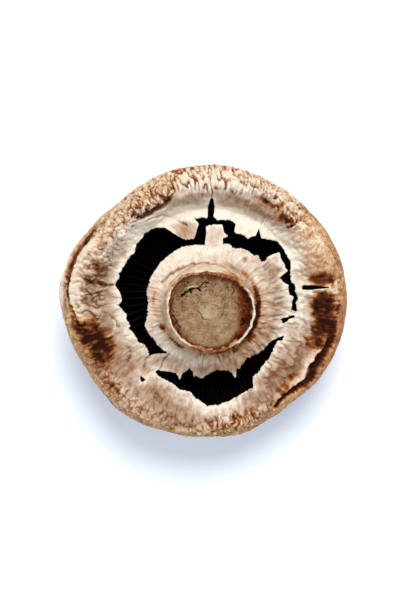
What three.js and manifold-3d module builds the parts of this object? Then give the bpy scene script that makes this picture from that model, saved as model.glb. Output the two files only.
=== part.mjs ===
// A portobello mushroom (a large, opened brown Agaricus bisporus) with a trimmed stem, lying on its cap.
//
// It has four organs, each a solid of its own: the fleshy cap with its rolled margin, the ring of gills that
// hangs from the cap's flesh, the stem, and the veil. The veil is the skin that once closed the cap, from
// its margin to the stem. It has torn in two long crescents, so a wide ring of it stays on the margin and a
// collar stays round the stem, and two bridges still join them.
//
// Millimetres. Each piece is drawn round the stem's axis: z runs along the stem, towards its cut end, and
// z = 0 is where the cap is widest. The group then leans the mushroom, and sets the flattened side that it
// lies on down to z = 0 of the part's own frame.

import * as THREE from "three";
import { mergeVertices } from "three/addons/utils/BufferGeometryUtils.js";
import Module from "manifold-3d";

const wasm = await Module();
wasm.setup();

// ---------------------------------------------------------------- driving dimensions

const CAP_RADIUS = 48.3; // mean radius of the cap where it is widest
const CAP_DEPTH = 30.5; // from the widest place to the top of the dome, which points down here
const CREST_RADIUS = 42.6; // the rolled margin's crest
const CREST_HEIGHT = 13.8;
const MOUTH_RADIUS = 39.6; // inside the rolled margin, where the veil is fixed
const FLESH_CENTRE = 15.5; // thickness of the cap's flesh over the stem
const STEM_RADIUS = 14.5; // at the cut end
const STEM_FOOT_RADIUS = 17.1; // where it grows out of the cap
const STEM_CUT_HEIGHT = 24.5; // rim of the cut end
const STEM_DISH = 2.6; // how far the pith has sunk below that rim
const VEIL_THICKNESS = 1.8;
const VEIL_SAG = 9.2; // height of the veil half way between the stem and the margin
const GILL_COUNT = 56;
const GILL_BED = 1.2; // thickness of the ring between two blades
const GAP = 0.3; // between neighbouring solids

const LEAN_FORWARD = THREE.MathUtils.degToRad(9.5); // the stem leans towards -Y
const LEAN_RIGHT = THREE.MathUtils.degToRad(5); // and a little towards +X
const FLAT_DEPTH = 2.2; // how far the side that the mushroom lies on is flattened

// Waves of the cap's outline: how many round the cap, how high, and where the first crest is.
const CAP_LOBES = [
  { waves: 1, height: 0.5, crest: -0.4 },
  { waves: 2, height: 1.3, crest: 0.1 },
  { waves: 4, height: 0.7, crest: -0.04 },
];
// Waves of the margin's height.
const CREST_LOBES = [
  { waves: 2, height: 0.6, crest: 1.9 },
  { waves: 5, height: 0.35, crest: 0.5 },
];

// ---------------------------------------------------------------- shaping tools

const sumOfWaves = (lobes, angle) =>
  lobes.reduce((sum, { waves, height, crest }) => sum + height * Math.cos(waves * (angle - crest)), 0);

// A profile of [radius, height] points turned round the stem's axis. The profile runs anticlockwise in the
// radius-height plane, so its faces point outwards.
function turned(profile, segments) {
  const points = profile.map(([radius, height]) => new THREE.Vector2(radius, height));
  const lathe = new THREE.LatheGeometry(points, segments);
  lathe.rotateX(Math.PI / 2); // three.js turns about Y: this makes it Z
  return lathe;
}

// A smooth curve through the given [radius, height] points, as that many points.
function smooth(points, count) {
  const curve = new THREE.SplineCurve(points.map(([radius, height]) => new THREE.Vector2(radius, height)));
  return curve.getPoints(count - 1).map((point) => [point.x, point.y]);
}

// Moves every vertex: change gets its angle round the axis, its radius and its height, and gives back the
// new radius and height.
function reshape(geometry, change) {
  const position = geometry.getAttribute("position");
  for (let i = 0; i < position.count; i++) {
    const x = position.getX(i);
    const y = position.getY(i);
    const angle = Math.atan2(y, x);
    const [radius, height] = change(angle, Math.hypot(x, y), position.getZ(i));
    position.setXYZ(i, radius * Math.cos(angle), radius * Math.sin(angle), height);
  }
  return geometry;
}

function solidOf(geometry) {
  geometry.deleteAttribute("normal");
  geometry.deleteAttribute("uv");
  const merged = mergeVertices(geometry, 1e-3);
  return new wasm.Manifold(
    new wasm.Mesh({
      numProp: 3,
      vertProperties: new Float32Array(merged.getAttribute("position").array),
      triVerts: new Uint32Array(merged.index.array),
    }),
  );
}

function geometryOf(solid) {
  const { vertProperties, triVerts } = solid.getMesh();
  const geometry = new THREE.BufferGeometry();
  geometry.setAttribute("position", new THREE.BufferAttribute(vertProperties, 3));
  geometry.setIndex(new THREE.BufferAttribute(triVerts, 1));
  return geometry;
}

// Everything outside the stem follows the cap's outline: fully at the margin, not at all at the stem.
function withTheCap(angle, radius, height) {
  const share = THREE.MathUtils.smoothstep(radius, STEM_RADIUS + 2, MOUTH_RADIUS);
  const rise = THREE.MathUtils.smoothstep(height, 0, CREST_HEIGHT) * sumOfWaves(CREST_LOBES, angle);
  const wider = 1 + sumOfWaves(CAP_LOBES, angle) / CAP_RADIUS;
  return [radius * THREE.MathUtils.lerp(1, wider, share), height + rise * share];
}

// ---------------------------------------------------------------- cap

const CEILING_HEIGHT = FLESH_CENTRE - CAP_DEPTH; // the flesh that the stem grows from

// The underside of the cap's flesh, from the stem's foot out to the rolled margin.
const CEILING = [
  [STEM_FOOT_RADIUS + 0.5, CEILING_HEIGHT],
  [26, CEILING_HEIGHT + 1.4],
  [33.5, CEILING_HEIGHT + 5.2],
  [39.5, CEILING_HEIGHT + 11.5],
  [42.3, CEILING_HEIGHT + 18],
];

function capGeometry() {
  const dome = smooth(
    [
      [0, -CAP_DEPTH],
      [15, -CAP_DEPTH + 1.9],
      [28, -CAP_DEPTH + 6.5],
      [38.6, -CAP_DEPTH + 13.6],
      [45.7, -CAP_DEPTH + 22.4],
      [CAP_RADIUS, 0],
      [47.6, 6.4],
      [45.6, 11.2],
      [CREST_RADIUS, CREST_HEIGHT],
      [40.6, 13.4],
      [MOUTH_RADIUS, 11.6],
    ],
    22,
  );
  const inside = smooth([[MOUTH_RADIUS + 0.6, 9.4], [41.4, 6.6], ...CEILING.toReversed()], 10);
  return reshape(turned([...dome, ...inside, [0, CEILING_HEIGHT]], 72), withTheCap);
}

// ---------------------------------------------------------------- gills

// The free edge of a blade, from the stem out to the margin.
const GILL_EDGE = [
  [18.8, -8.4],
  [24, -7.4],
  [32, -3.2],
  [38, 2.6],
  [40.9, 6.6],
];
const VERTICES_PER_GILL = 3; // one on the blade's edge and two in the valley

// One pleated ring: sharp blades stand on a thin bed that follows the cap's flesh.
function gillGeometry() {
  const [innerRadius] = GILL_EDGE[0];
  const root = CEILING.slice(1).map(([radius, height]) => [radius - 1.5 * GAP, height + GAP]);
  root.unshift([innerRadius, CEILING_HEIGHT + 2 * GAP]);
  const profile = [...root, ...GILL_EDGE.toReversed(), root[0]];
  const rootAt = heightAlong(root);
  const edgeAt = heightAlong(GILL_EDGE);
  return reshape(turned(profile, VERTICES_PER_GILL * GILL_COUNT), (angle, radius, height) => {
    const turn = (angle / (2 * Math.PI)) * GILL_COUNT;
    const inValley = Math.abs(turn - Math.round(turn)) > 0.5 / VERTICES_PER_GILL;
    const onEdge = height > (rootAt(radius) + edgeAt(radius)) / 2;
    return withTheCap(angle, radius, onEdge && inValley ? rootAt(radius) + GILL_BED : height);
  });
}

// The height of a profile at any radius, straight from one point to the next.
function heightAlong(profile) {
  return (radius) => {
    const last = profile.length - 1;
    const after = profile.findIndex(([r]) => r > radius);
    const i = THREE.MathUtils.clamp(after < 0 ? last : after, 1, last);
    const [[r0, h0], [r1, h1]] = [profile[i - 1], profile[i]];
    return THREE.MathUtils.mapLinear(radius, r0, r1, h0, h1);
  };
}

// ---------------------------------------------------------------- stem

function stemGeometry() {
  const side = smooth(
    [
      [STEM_FOOT_RADIUS, CEILING_HEIGHT + GAP],
      [16.2, -6],
      [15.7, 4],
      [15.4, 11],
      [14.9, 17],
      [STEM_RADIUS, STEM_CUT_HEIGHT - 1.2],
      [STEM_RADIUS - 0.6, STEM_CUT_HEIGHT],
      [STEM_RADIUS - 1.4, STEM_CUT_HEIGHT - 0.8],
    ],
    12,
  );
  const dish = [
    [STEM_RADIUS - 2.4, STEM_CUT_HEIGHT - STEM_DISH],
    [7, STEM_CUT_HEIGHT - STEM_DISH - 0.5],
    [0, STEM_CUT_HEIGHT - STEM_DISH - 0.2],
  ];
  return reshape(turned([[0, CEILING_HEIGHT + GAP], ...side, ...dish], 48), (angle, radius, height) => {
    // The cut end is a little narrower towards -Y than towards +Y.
    const atCut = THREE.MathUtils.smoothstep(height, 8, STEM_CUT_HEIGHT);
    return [radius * (1 - 0.06 * atCut * (1 - Math.sin(angle))), height];
  });
}

// ---------------------------------------------------------------- veil

// The outlines of the tears, in millimetres from the stem's axis. Each runs clockwise, seen from the cut
// end of the stem: first along the ring on the margin, then back along the collar on the stem.
const MAIN_TEAR = [
  [-19.5, -16.5], [-23.5, -12], [-26, -7.5], [-28.5, -1], [-29.5, 4], [-31, 7], [-29.5, 10.5], [-26, 17],
  [-24.5, 21.5], [-21.5, 25], [-17.5, 26.5],
  // A flap of the ring that hangs inwards.
  [-13, 26], [-7.5, 23], [-5, 23], [-3.5, 24], [-3, 28], [-4, 30],
  // A slit that runs out towards the margin.
  [0.5, 30.5], [0.8, 33.5], [1.5, 36.5], [2.4, 33.5], [3, 30],
  [7.5, 29.5], [9.3, 26], [14, 23.5], [17.5, 26], [18.5, 24.5], [24, 22], [27.5, 17.5], [29, 14],
  [29.7, 7], [31.5, 2], [31, -3],
  // The collar, with its loose shred on the right and a tab that stands up at the top.
  [30, -1], [28.5, 3], [29, 6], [26, 9.5], [28, 10.5], [25, 18], [19, 14.5], [14, 18.5], [8.5, 20],
  [5.5, 20.5], [5.5, 24.5], [6, 27.5], [0.5, 27.5], [0, 24], [-0.3, 20.3], [-7.5, 20.2], [-11.5, 17],
  [-15.5, 13.5], [-18.5, 9], [-20, 4], [-20, -1], [-21, -5.5], [-18.5, -11], [-13, -17],
];
const LOWER_TEAR = [
  [-17, -23], [-12.5, -27], [-9.5, -30], [-6, -30.5], [-2, -34], [2, -35.5], [7.5, -34.5], [14.5, -31],
  [16.5, -29], [16.5, -25.5], [20.5, -21], [24, -14], [27, -11.3],
  [24.5, -12.2], [21, -15.5], [15, -19], [11.5, -22.5], [11, -26], [9, -23.5], [2, -24.2], [-1.5, -26],
  [-5.5, -23], [-9, -26], [-10, -23.8],
];
const SHORT_TEAR = [[25.8, -6.4], [28.5, -4.7], [30.8, -4.9], [27.2, -7.4]];
const SIDE_SLIT = [[33, 5.6], [34.5, 6.3], [39.5, 5.6], [35.5, 4.8]];
const PINHOLE = [[-22.9, -25.3], [-22, -24.5], [-21.2, -25.4], [-22, -26.2]];

// A prism through the veil, with the outline of a tear.
function tearSolid(outline) {
  const shape = new THREE.Shape(outline.map(([x, y]) => new THREE.Vector2(x, y)));
  return solidOf(new THREE.ExtrudeGeometry(shape, { depth: CREST_HEIGHT * 2, bevelEnabled: false }));
}

function veilGeometry() {
  // A shallow dish, lowest half way between the stem and the margin.
  const top = smooth(
    [
      [15.9, VEIL_SAG + 4.2],
      [18, VEIL_SAG + 2.4],
      [22, VEIL_SAG + 0.7],
      [27, VEIL_SAG],
      [32, VEIL_SAG + 0.8],
      [36, VEIL_SAG + 2.2],
      [MOUTH_RADIUS - 0.5, VEIL_SAG + 3.4],
    ],
    8,
  );
  const bottom = top.map(([radius, height]) => [radius, height - VEIL_THICKNESS]);
  const membrane = solidOf(reshape(turned([...bottom, ...top.toReversed(), bottom[0]], 72), withTheCap));
  const tears = [MAIN_TEAR, LOWER_TEAR, SHORT_TEAR, SIDE_SLIT, PINHOLE].map(tearSolid);
  return geometryOf(tears.reduce((veil, tear) => veil.subtract(tear), membrane));
}

// ---------------------------------------------------------------- assembly

const COLOURS = {
  cap: new THREE.MeshStandardMaterial({ color: 0xb98a62, roughness: 0.85, metalness: 0 }),
  gills: new THREE.MeshStandardMaterial({ color: 0x2a1a14, roughness: 0.9, metalness: 0 }),
  stem: new THREE.MeshStandardMaterial({ color: 0xc3a27c, roughness: 0.8, metalness: 0 }),
  torn_veil: new THREE.MeshStandardMaterial({ color: 0xe6d3bd, roughness: 0.9, metalness: 0 }),
};

const mushroom = new THREE.Group();
mushroom.rotation.set(LEAN_FORWARD, LEAN_RIGHT, 0);
mushroom.updateMatrixWorld();

// Takes the side that the mushroom lies on down to a level face.
function flattened(geometry) {
  const upright = mushroom.quaternion.clone().invert();
  const up = new THREE.Vector3(0, 0, 1).applyQuaternion(upright);
  const block = new THREE.BoxGeometry(3 * CAP_RADIUS, 3 * CAP_RADIUS, CAP_RADIUS);
  block.translate(0, 0, lowestAlong(up, geometry) + FLAT_DEPTH - CAP_RADIUS / 2);
  block.applyQuaternion(upright);
  return geometryOf(solidOf(geometry).subtract(solidOf(block)));
}

function lowestAlong(direction, geometry) {
  const position = geometry.getAttribute("position");
  const point = new THREE.Vector3();
  let lowest = Infinity;
  for (let i = 0; i < position.count; i++) {
    lowest = Math.min(lowest, point.fromBufferAttribute(position, i).dot(direction));
  }
  return lowest;
}

const geometries = {
  cap: flattened(capGeometry()),
  gills: gillGeometry(),
  stem: stemGeometry(),
  torn_veil: veilGeometry(),
};
for (const [name, geometry] of Object.entries(geometries)) {
  const mesh = new THREE.Mesh(geometry, COLOURS[name]);
  mesh.name = name;
  mushroom.add(mesh);
}

// The origin is under the middle of the mushroom, on the surface that it lies on.
const part = new THREE.Group();
part.add(mushroom);
const extent = new THREE.Box3().setFromObject(part, true);
const middle = extent.getCenter(new THREE.Vector3());
mushroom.position.set(-middle.x, -middle.y, -extent.min.z);

export default part;
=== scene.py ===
# %% [markdown]
# # A portobello mushroom, seen from its gills
#
# The mushroom lies on its domed cap with its trimmed stem up. Its veil, the skin that once closed the cap
# from margin to stem, has torn: a ring of it stays on the margin, a collar stays round the stem, and the
# dark gills show through the tears. Nearly everything on it follows one rule: it grew round the stem. So
# each skin here is a grid of rings round the stem's axis, and the relief of the flesh is noise that is
# stretched along the radius. The gills repeat, so Geometry Nodes place them.

# %% The frame and the tools
import itertools
from functools import partial

import bpy
import numpy as np
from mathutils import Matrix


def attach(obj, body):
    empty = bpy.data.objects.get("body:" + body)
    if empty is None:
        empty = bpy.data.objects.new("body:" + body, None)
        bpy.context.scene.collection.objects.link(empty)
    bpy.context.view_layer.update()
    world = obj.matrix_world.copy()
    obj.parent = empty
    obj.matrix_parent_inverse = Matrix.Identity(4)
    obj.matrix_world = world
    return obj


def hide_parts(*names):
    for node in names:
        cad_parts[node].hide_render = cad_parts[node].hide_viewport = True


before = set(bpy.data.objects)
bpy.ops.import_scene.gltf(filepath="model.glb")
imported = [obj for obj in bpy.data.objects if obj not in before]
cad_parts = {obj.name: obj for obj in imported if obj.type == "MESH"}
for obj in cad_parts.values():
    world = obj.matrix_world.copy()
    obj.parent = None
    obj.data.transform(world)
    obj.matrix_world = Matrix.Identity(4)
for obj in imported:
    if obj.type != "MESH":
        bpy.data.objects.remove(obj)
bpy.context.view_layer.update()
print("nodes in the frame:", sorted(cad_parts))

# %% [markdown]
# ## The mushroom's own directions
#
# The flesh is drawn in millimetres in the mushroom's upright frame: z runs up the stem, and z = 0 is where
# the cap is widest. The lean is the one that it rests with. The stem is round at its foot, so once the lean
# is taken out, the stem's box gives the place of the axis, and its rim gives the height.

# %% Lean and place
MM = 0.001
LEAN_FORWARD, LEAN_RIGHT = np.radians(9.5), np.radians(5)
STEM_CUT_HEIGHT = 24.5


def turn_about_x(angle):
    c, s = np.cos(angle), np.sin(angle)
    return np.array([[1, 0, 0], [0, c, -s], [0, s, c]])


def turn_about_y(angle):
    c, s = np.cos(angle), np.sin(angle)
    return np.array([[c, 0, s], [0, 1, 0], [-s, 0, c]])


LEAN = turn_about_x(LEAN_FORWARD) @ turn_about_y(LEAN_RIGHT)
stem_points = np.array([v.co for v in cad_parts["stem"].data.vertices]) / MM @ LEAN
lowest, highest = stem_points.min(axis=0), stem_points.max(axis=0)
PLACE = LEAN @ [*(lowest + highest)[:2] / 2, highest[2] - STEM_CUT_HEIGHT]
print("the middle of the cap's widest place, mm:", PLACE.round(2))

# %% [markdown]
# ## Tools for growing flesh
#
# `soft_noise` is the lump and grain of everything: one smooth bump per unit, the same on every run because
# its table is seeded. `round_noise` lays it on rings round the stem, so that it joins up after a full turn
# and its bumps can be long along the radius, as fibres are. `by_angle` reads a value that changes round the
# mushroom from a few (degrees, value) pairs.

# %% Noise
NOISE_GAIN = 1.7  # noise of this kind seldom passes 0.6, and this brings it to about 1
TRUE_RING = 33  # mm from the axis: the ring on which a width across the fibres is true


def soft_noise(points, seed):
    """Smooth noise of about -1 to 1 at points of shape (..., 3)."""
    random = np.random.default_rng(seed)
    table = random.permutation(256)
    slopes = random.normal(size=(256, 3))
    slopes /= np.linalg.norm(slopes, axis=1, keepdims=True)
    cell = np.floor(points).astype(int)
    inside = points - cell
    ease = inside**3 * (inside * (inside * 6 - 15) + 10)
    total = np.zeros(points.shape[:-1])
    for corner in itertools.product((0, 1), repeat=3):
        x, y, z = np.moveaxis((cell + corner) & 255, -1, 0)
        slope = slopes[table[(table[(table[x] + y) & 255] + z) & 255]]
        share = np.where(corner, ease, 1 - ease).prod(axis=-1)
        total += share * (slope * (inside - corner)).sum(axis=-1)
    return total * NOISE_GAIN


def round_noise(angle, radius, seed, across, along):
    """Noise round the stem: its bumps are `across` mm wide on the true ring, and `along` mm long."""
    turns = TRUE_RING / across
    points = np.stack([np.cos(angle) * turns, np.sin(angle) * turns, radius / along], axis=-1)
    return soft_noise(points, seed)


def flat_noise(points, seed, size):
    """Noise in the mushroom's frame, in bumps of `size` mm."""
    return soft_noise(points / size, seed)


sample = soft_noise(np.random.default_rng(0).uniform(0, 50, (2000, 3)), seed=1)
print("the noise runs from", sample.min().round(2), "to", sample.max().round(2))


# %% Steps and curves
def smooth_step(low, high, value):
    """0 up to `low`, 1 from `high`, and an eased slope between."""
    share = np.clip((value - low) / (high - low), 0, 1)
    return share * share * (3 - 2 * share)


def by_angle(angle, pairs):
    """A value round the mushroom, from (degrees, value) pairs."""
    degrees, values = zip(*pairs)
    return np.interp(np.degrees(angle), degrees, values, period=360)


def eased_by_angle(angle, pairs, over=12):
    """The same without its corners: its mean over so many degrees either way."""
    turns = np.radians(np.linspace(-over, over, 9))
    return np.mean([by_angle(angle + turn, pairs) for turn in turns], axis=0)


def spot(angle, radius, at, half, edge=0.6):
    """1 inside an oval patch at (degrees, mm) with half sizes (degrees, mm), and 0 outside it."""
    turn = (np.degrees(angle) - at[0] + 180) % 360 - 180
    reach = np.hypot(turn / half[0], (radius - at[1]) / half[1])
    return 1 - smooth_step(1 - edge, 1 + edge, reach)


def curve_through(points, count):
    """That many points on a smooth curve through the given ones."""
    points = np.array(points, float)
    t = np.linspace(0, len(points) - 1, count)
    i = np.minimum(t.astype(int), len(points) - 2)
    f = (t - i)[:, None]
    before, start, end = points[np.maximum(i - 1, 0)], points[i], points[i + 1]
    after = points[np.minimum(i + 2, len(points) - 1)]
    leave, arrive = (end - before) / 2, (after - start) / 2
    curve = (2 * start - 2 * end + leave + arrive) * f**3
    curve += (3 * end - 3 * start - 2 * leave - arrive) * f**2
    return curve + leave * f + start


def from_lines(points, lines):
    """Distance from each (x, y) point to a set of (start, end) lines, and the nearest point on them."""
    best = np.full(points.shape[:-1], np.inf)
    nearest = np.zeros_like(points)
    for start, end in lines:
        along = end - start
        share = np.clip(((points - start) @ along) / (along @ along), 0, 1)
        foot = start + share[..., None] * along
        distance = np.linalg.norm(points - foot, axis=-1)
        closer = distance < best
        best[closer] = distance[closer]
        nearest[closer] = foot[closer]
    return best, nearest


def lines_of(path):
    """The (start, end) lines between the corners of a path."""
    corners = np.array(path, float)
    return list(zip(corners[:-1], corners[1:]))


print("a step from 2 to 4, at 2, 3 and 4:", smooth_step(2, 4, np.array([2, 3, 4])))

# %% [markdown]
# ## Grids of rings
#
# Every skin here is made as rings of points round the stem, one after another from its start to its end. A
# ring at the axis closes to one point. `closed_skin` gives a whole organ, such as the cap, with its faces
# outwards when the rings run from the lowest pole out and up. `torn_sheet` gives a thin sheet with a top
# and a bottom, in which some of the cells are torn out, and walls close it all round the tears.

# %% From rings to faces
def to_row(points):
    """From the mushroom's millimetres to metres in the shared frame."""
    return (points @ LEAN.T + PLACE) * MM


def closed_skin(rings):
    """Points and faces of a skin of rings, closed by a point at each end. The two end points come last."""
    count, segments = rings.shape[:2]
    grid = np.arange(count * segments).reshape(count, segments)
    ahead = np.roll(grid, -1, axis=1)
    faces = np.stack([grid[:-1], ahead[:-1], ahead[1:], grid[1:]], axis=-1).reshape(-1, 4).tolist()
    first, last = count * segments, count * segments + 1
    faces += [[first, b, a] for a, b in zip(grid[0], ahead[0])]
    faces += [[last, a, b] for a, b in zip(grid[-1], ahead[-1])]
    ends = [rings[0].mean(axis=0), rings[-1].mean(axis=0)]
    return np.vstack([rings.reshape(-1, 3), ends]), faces


def whole_cells(kept):
    """Drops cells that hang on by a corner or on nothing, so that the sheet stays one body.

    The body spreads from the first ring of cells to its neighbours, until it grows no more.
    """
    kept = kept.copy()
    ahead = np.roll(kept, -1, axis=1)
    only_corners = (kept[:-1] == ahead[1:]) & (ahead[:-1] == kept[1:]) & (kept[:-1] != ahead[:-1])
    kept[:-1] &= ~only_corners
    kept[:-1] &= ~np.roll(only_corners, 1, axis=1)
    body = np.zeros_like(kept)
    body[0] = kept[0]
    size = -1
    while body.sum() != size:
        size = body.sum()
        for _ in range(8):
            grown = body | np.roll(body, 1, axis=1) | np.roll(body, -1, axis=1)
            grown[1:] |= body[:-1]
            grown[:-1] |= body[1:]
            body = grown & kept
    return body


def torn_sheet(top, bottom, kept):
    """Points and faces of a sheet between two grids of rings, without the cells that aren't kept."""
    count, segments = top.shape[:2]
    grid = np.arange(count * segments).reshape(count, segments)
    ahead = np.roll(grid, -1, axis=1)
    a, b, c, d = grid[:-1], grid[1:], ahead[1:], ahead[:-1]
    under = count * segments
    torn = np.pad(~kept, ((1, 1), (0, 0)), constant_values=True)
    faces = [np.stack([a, b, c, d], axis=-1)[kept], np.stack([d, c, b, a], axis=-1)[kept] + under]
    sides = [
        (a, d, torn[:-2]),
        (c, b, torn[2:]),
        (b, a, np.roll(~kept, 1, axis=1)),
        (d, c, np.roll(~kept, -1, axis=1)),
    ]
    for start, end, open_side in sides:
        wall = np.stack([start, end, end + under, start + under], axis=-1)
        faces.append(wall[kept & open_side])
    faces = np.vstack(faces)
    used, faces = np.unique(faces, return_inverse=True)
    points = np.vstack([top.reshape(-1, 3), bottom.reshape(-1, 3)])[used]
    return points, faces.reshape(-1, 4).tolist(), used


def add_object(name, data):
    """A new object in the scene, at the origin, unturned and unscaled."""
    thing = bpy.data.objects.new(name, data)
    bpy.context.scene.collection.objects.link(thing)
    return thing


def make_piece(name, points, faces, looks):
    """A mesh object from mushroom millimetres, with a value for each point for each look."""
    mesh = bpy.data.meshes.new(name)
    mesh.from_pydata(to_row(points).tolist(), [], faces)
    for look, values in looks.items():
        is_vector = np.ndim(values) == 2
        layer = mesh.attributes.new(look, "FLOAT_VECTOR" if is_vector else "FLOAT", "POINT")
        layer.data.foreach_set("vector" if is_vector else "value", np.ravel(values).astype(np.float32))
    mesh.shade_smooth()
    mesh.update()
    triangles = sum(len(face) - 2 for face in faces)
    print(f"{name}: {len(points)} points, {triangles} triangles")
    return add_object(name, mesh)


# %% [markdown]
# ## Growing with the cap
#
# The cap isn't quite round. Waves that run once, twice and four times round it give it its main outline,
# small dents and bulges are added to them, and the margin rises and falls a little. What grows on the cap,
# the gills and the veil, goes out and in with it, less and less towards the stem.

# %% The outline
CAP_RADIUS, CAP_DEPTH = 48.3, 30.5
CREST_HEIGHT, MOUTH_RADIUS, STEM_RADIUS = 13.8, 39.6, 14.5
FLESH_THICKNESS = 15.5  # where the stem grows from it
CEILING_HEIGHT = FLESH_THICKNESS - CAP_DEPTH
# Waves: how many round the cap, how high in mm, and where the first crest is, in radians.
CAP_LOBES = [(1, 0.5, -0.4), (2, 1.3, 0.1), (4, 0.7, -0.04)]
CREST_LOBES = [(2, 0.6, 1.9), (5, 0.35, 0.5)]
# Small dents and bulges: (degrees, mm further out).
DENTS = [
    (-180, 0), (-156, -1.3), (-136, 0.7), (-124, 1.5), (-108, 0.1), (-92, 0.3), (-72, 1.5), (-54, 0.1),
    (-34, 0.8), (-14, 0.2), (6, -0.8), (22, 0.6), (40, 0), (110, 0), (132, -1), (150, -0.4), (166, -0.5),
]


def sum_of_waves(lobes, angle):
    return sum(height * np.cos(waves * (angle - first)) for waves, height, first in lobes)


def round_points(angle, radius, height):
    """Points from their angle, radius and height."""
    return np.stack([radius * np.cos(angle), radius * np.sin(angle), height], axis=-1)


def further_out(angle):
    """How much further out than a perfectly round cap the margin is, in millimetres."""
    return sum_of_waves(CAP_LOBES, angle) + eased_by_angle(angle, DENTS, over=7)


def with_the_cap(angle, radius, height):
    """Points in the mushroom's frame, for a place given on a perfectly round cap."""
    share = smooth_step(STEM_RADIUS + 2, MOUTH_RADIUS, radius)
    wider = 1 + share * further_out(angle) / CAP_RADIUS
    rise = share * smooth_step(0, CREST_HEIGHT, height) * sum_of_waves(CREST_LOBES, angle)
    return round_points(angle, radius * wider, height + rise)


def ring_angles(rings, segments):
    """The angle of every point of that many equal rings, one row for each ring."""
    return np.broadcast_to(np.linspace(-np.pi, np.pi, segments, endpoint=False), (rings, segments))


print("outline radius every 45 degrees, mm:",
      [round(CAP_RADIUS + float(further_out(np.radians(d))), 1) for d in range(0, 360, 45)])

# %% [markdown]
# ## Where things are round the margin
#
# The veil's tissue wraps over the margin's crest and ends in an edge of its own, outside which the brown
# skin of the cap shows. In places the edge has come loose from the skin and left a dark groove: a wide
# crease at the lower right, a crevice at the upper left and a long crack on the left. The groove is brown,
# and its darkness is partly painted shade as well. No rule tells where they are, so they are lists of
# (degrees from +X, value), read with `by_angle`. Radii are in mm from the stem's axis.

# %% The tissue's edge and the groove beside it
TISSUE_EDGE = [
    (-175, 44.0), (-160, 44.2), (-140, 43.8), (-120, 44.5), (-100, 45.3), (-80, 45.2), (-66, 44),
    (-59, 42.6), (-53, 40.4), (-46, 40.4), (-40, 41.0), (-36, 42.0), (-31, 40.9), (-26, 41.2), (-20, 42.4),
    (-13, 43.6), (-6, 45.2), (8, 45.4), (40, 45.5), (90, 46.4), (110, 45.4), (131, 44.2), (138, 44.2),
    (148, 45.0), (155, 46.3), (166, 47.0), (174, 46.6), (180, 45.4),
]
GROOVE_DEPTH = [
    (-178, 1.6), (-172, 0.9), (-160, 0), (-60, 0), (-56, 0.7), (-45, 1.8), (-30, 2.2), (-20, 1.8), (-11, 0),
    (168, 0), (176, 0.6),
]
GROOVE_HALF_WIDTH = [
    (-170, 0.6), (-60, 0.6), (-50, 1.0), (-44, 1.7), (-38, 2.2), (-28, 2.5), (-20, 1.8), (-12, 1.2),
    (176, 0.7),
]
# How dark the groove is: partly its own brown and partly painted shade.
GROOVE_BROWN_AND_SHADE = [(-178, 0.8), (-170, 0.95), (-60, 1.15), (-10, 1.15), (140, 0.9), (152, 0.75), (174, 0.7)]
# How pale the tissue's edge is beside the groove.
EDGE_PALE = [(-172, 0), (-58, 0), (-50, 0.28), (-16, 0.28), (-8, 0), (138, 0), (150, 0.25), (178, 0.22)]
# How high the edge curls up, in mm.
EDGE_LIFT = [
    (-170, 0), (-60, 0), (-50, 0.3), (-43, 0.7), (-36, 0.3), (-31, 0.7), (-22, 0.6), (-14, 0), (145, 0),
    (152, 0.4), (172, 0.5),
]


def groove(angle, radius):
    """The groove outside the tissue's edge: its depth in mm, and how dark it is from 0 to 1.

    The darkness is partly the groove's own brown and partly painted shade.
    """
    depth, half_width = by_angle(angle, GROOVE_DEPTH), by_angle(angle, GROOVE_HALF_WIDTH)
    wander = 0.35 * round_noise(angle, radius, 33, across=2.5, along=6)
    off_centre = (radius + wander - by_angle(angle, TISSUE_EDGE) - half_width * 0.9) / half_width
    outside = off_centre > 0
    share = 1 - smooth_step(np.where(outside, 0.3, 0.75), np.where(outside, 1.55, 1.2), np.abs(off_centre))
    return depth * share, share * smooth_step(0.2, 1.0, depth) * by_angle(angle, GROOVE_BROWN_AND_SHADE)


all_round = ring_angles(1, 360)
deepest = groove(all_round, by_angle(all_round, TISSUE_EDGE) + 1)[0].max()
print("the groove beside the tissue's edge is up to", deepest.round(1), "mm deep")

# %% [markdown]
# The margin's flesh is folded and fringed, and in some places more than in others. Ruffles, fingers and
# flakes are its three textures, made further down. Here is how much there is of each, where the folds
# start, how high and how brown they are, and how much the smoother sheet inside them is rumpled. The
# brown in their creases is partly their own and partly painted shade.

# %% Folds, fringe and rumples
# How much of a fine fringe there is, from 0 for smooth: on the skin outside, and on the tissue's folds.
SKIN_FRINGE = [
    (-180, 0.3), (-150, 0.6), (-130, 0.7), (-110, 0.5), (-75, 0.5), (-60, 0.35), (-10, 0.35), (10, 0.5),
    (40, 0.7), (60, 0.9), (146, 1.0), (153, 0.35),
]
FOLD_FRINGE = [
    (-180, 0.25), (-140, 0.3), (-60, 0.35), (-10, 0.3), (35, 0.5), (60, 0.8), (104, 0.6), (112, 1.0),
    (140, 0.9), (155, 0.5), (170, 0.25),
]
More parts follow.
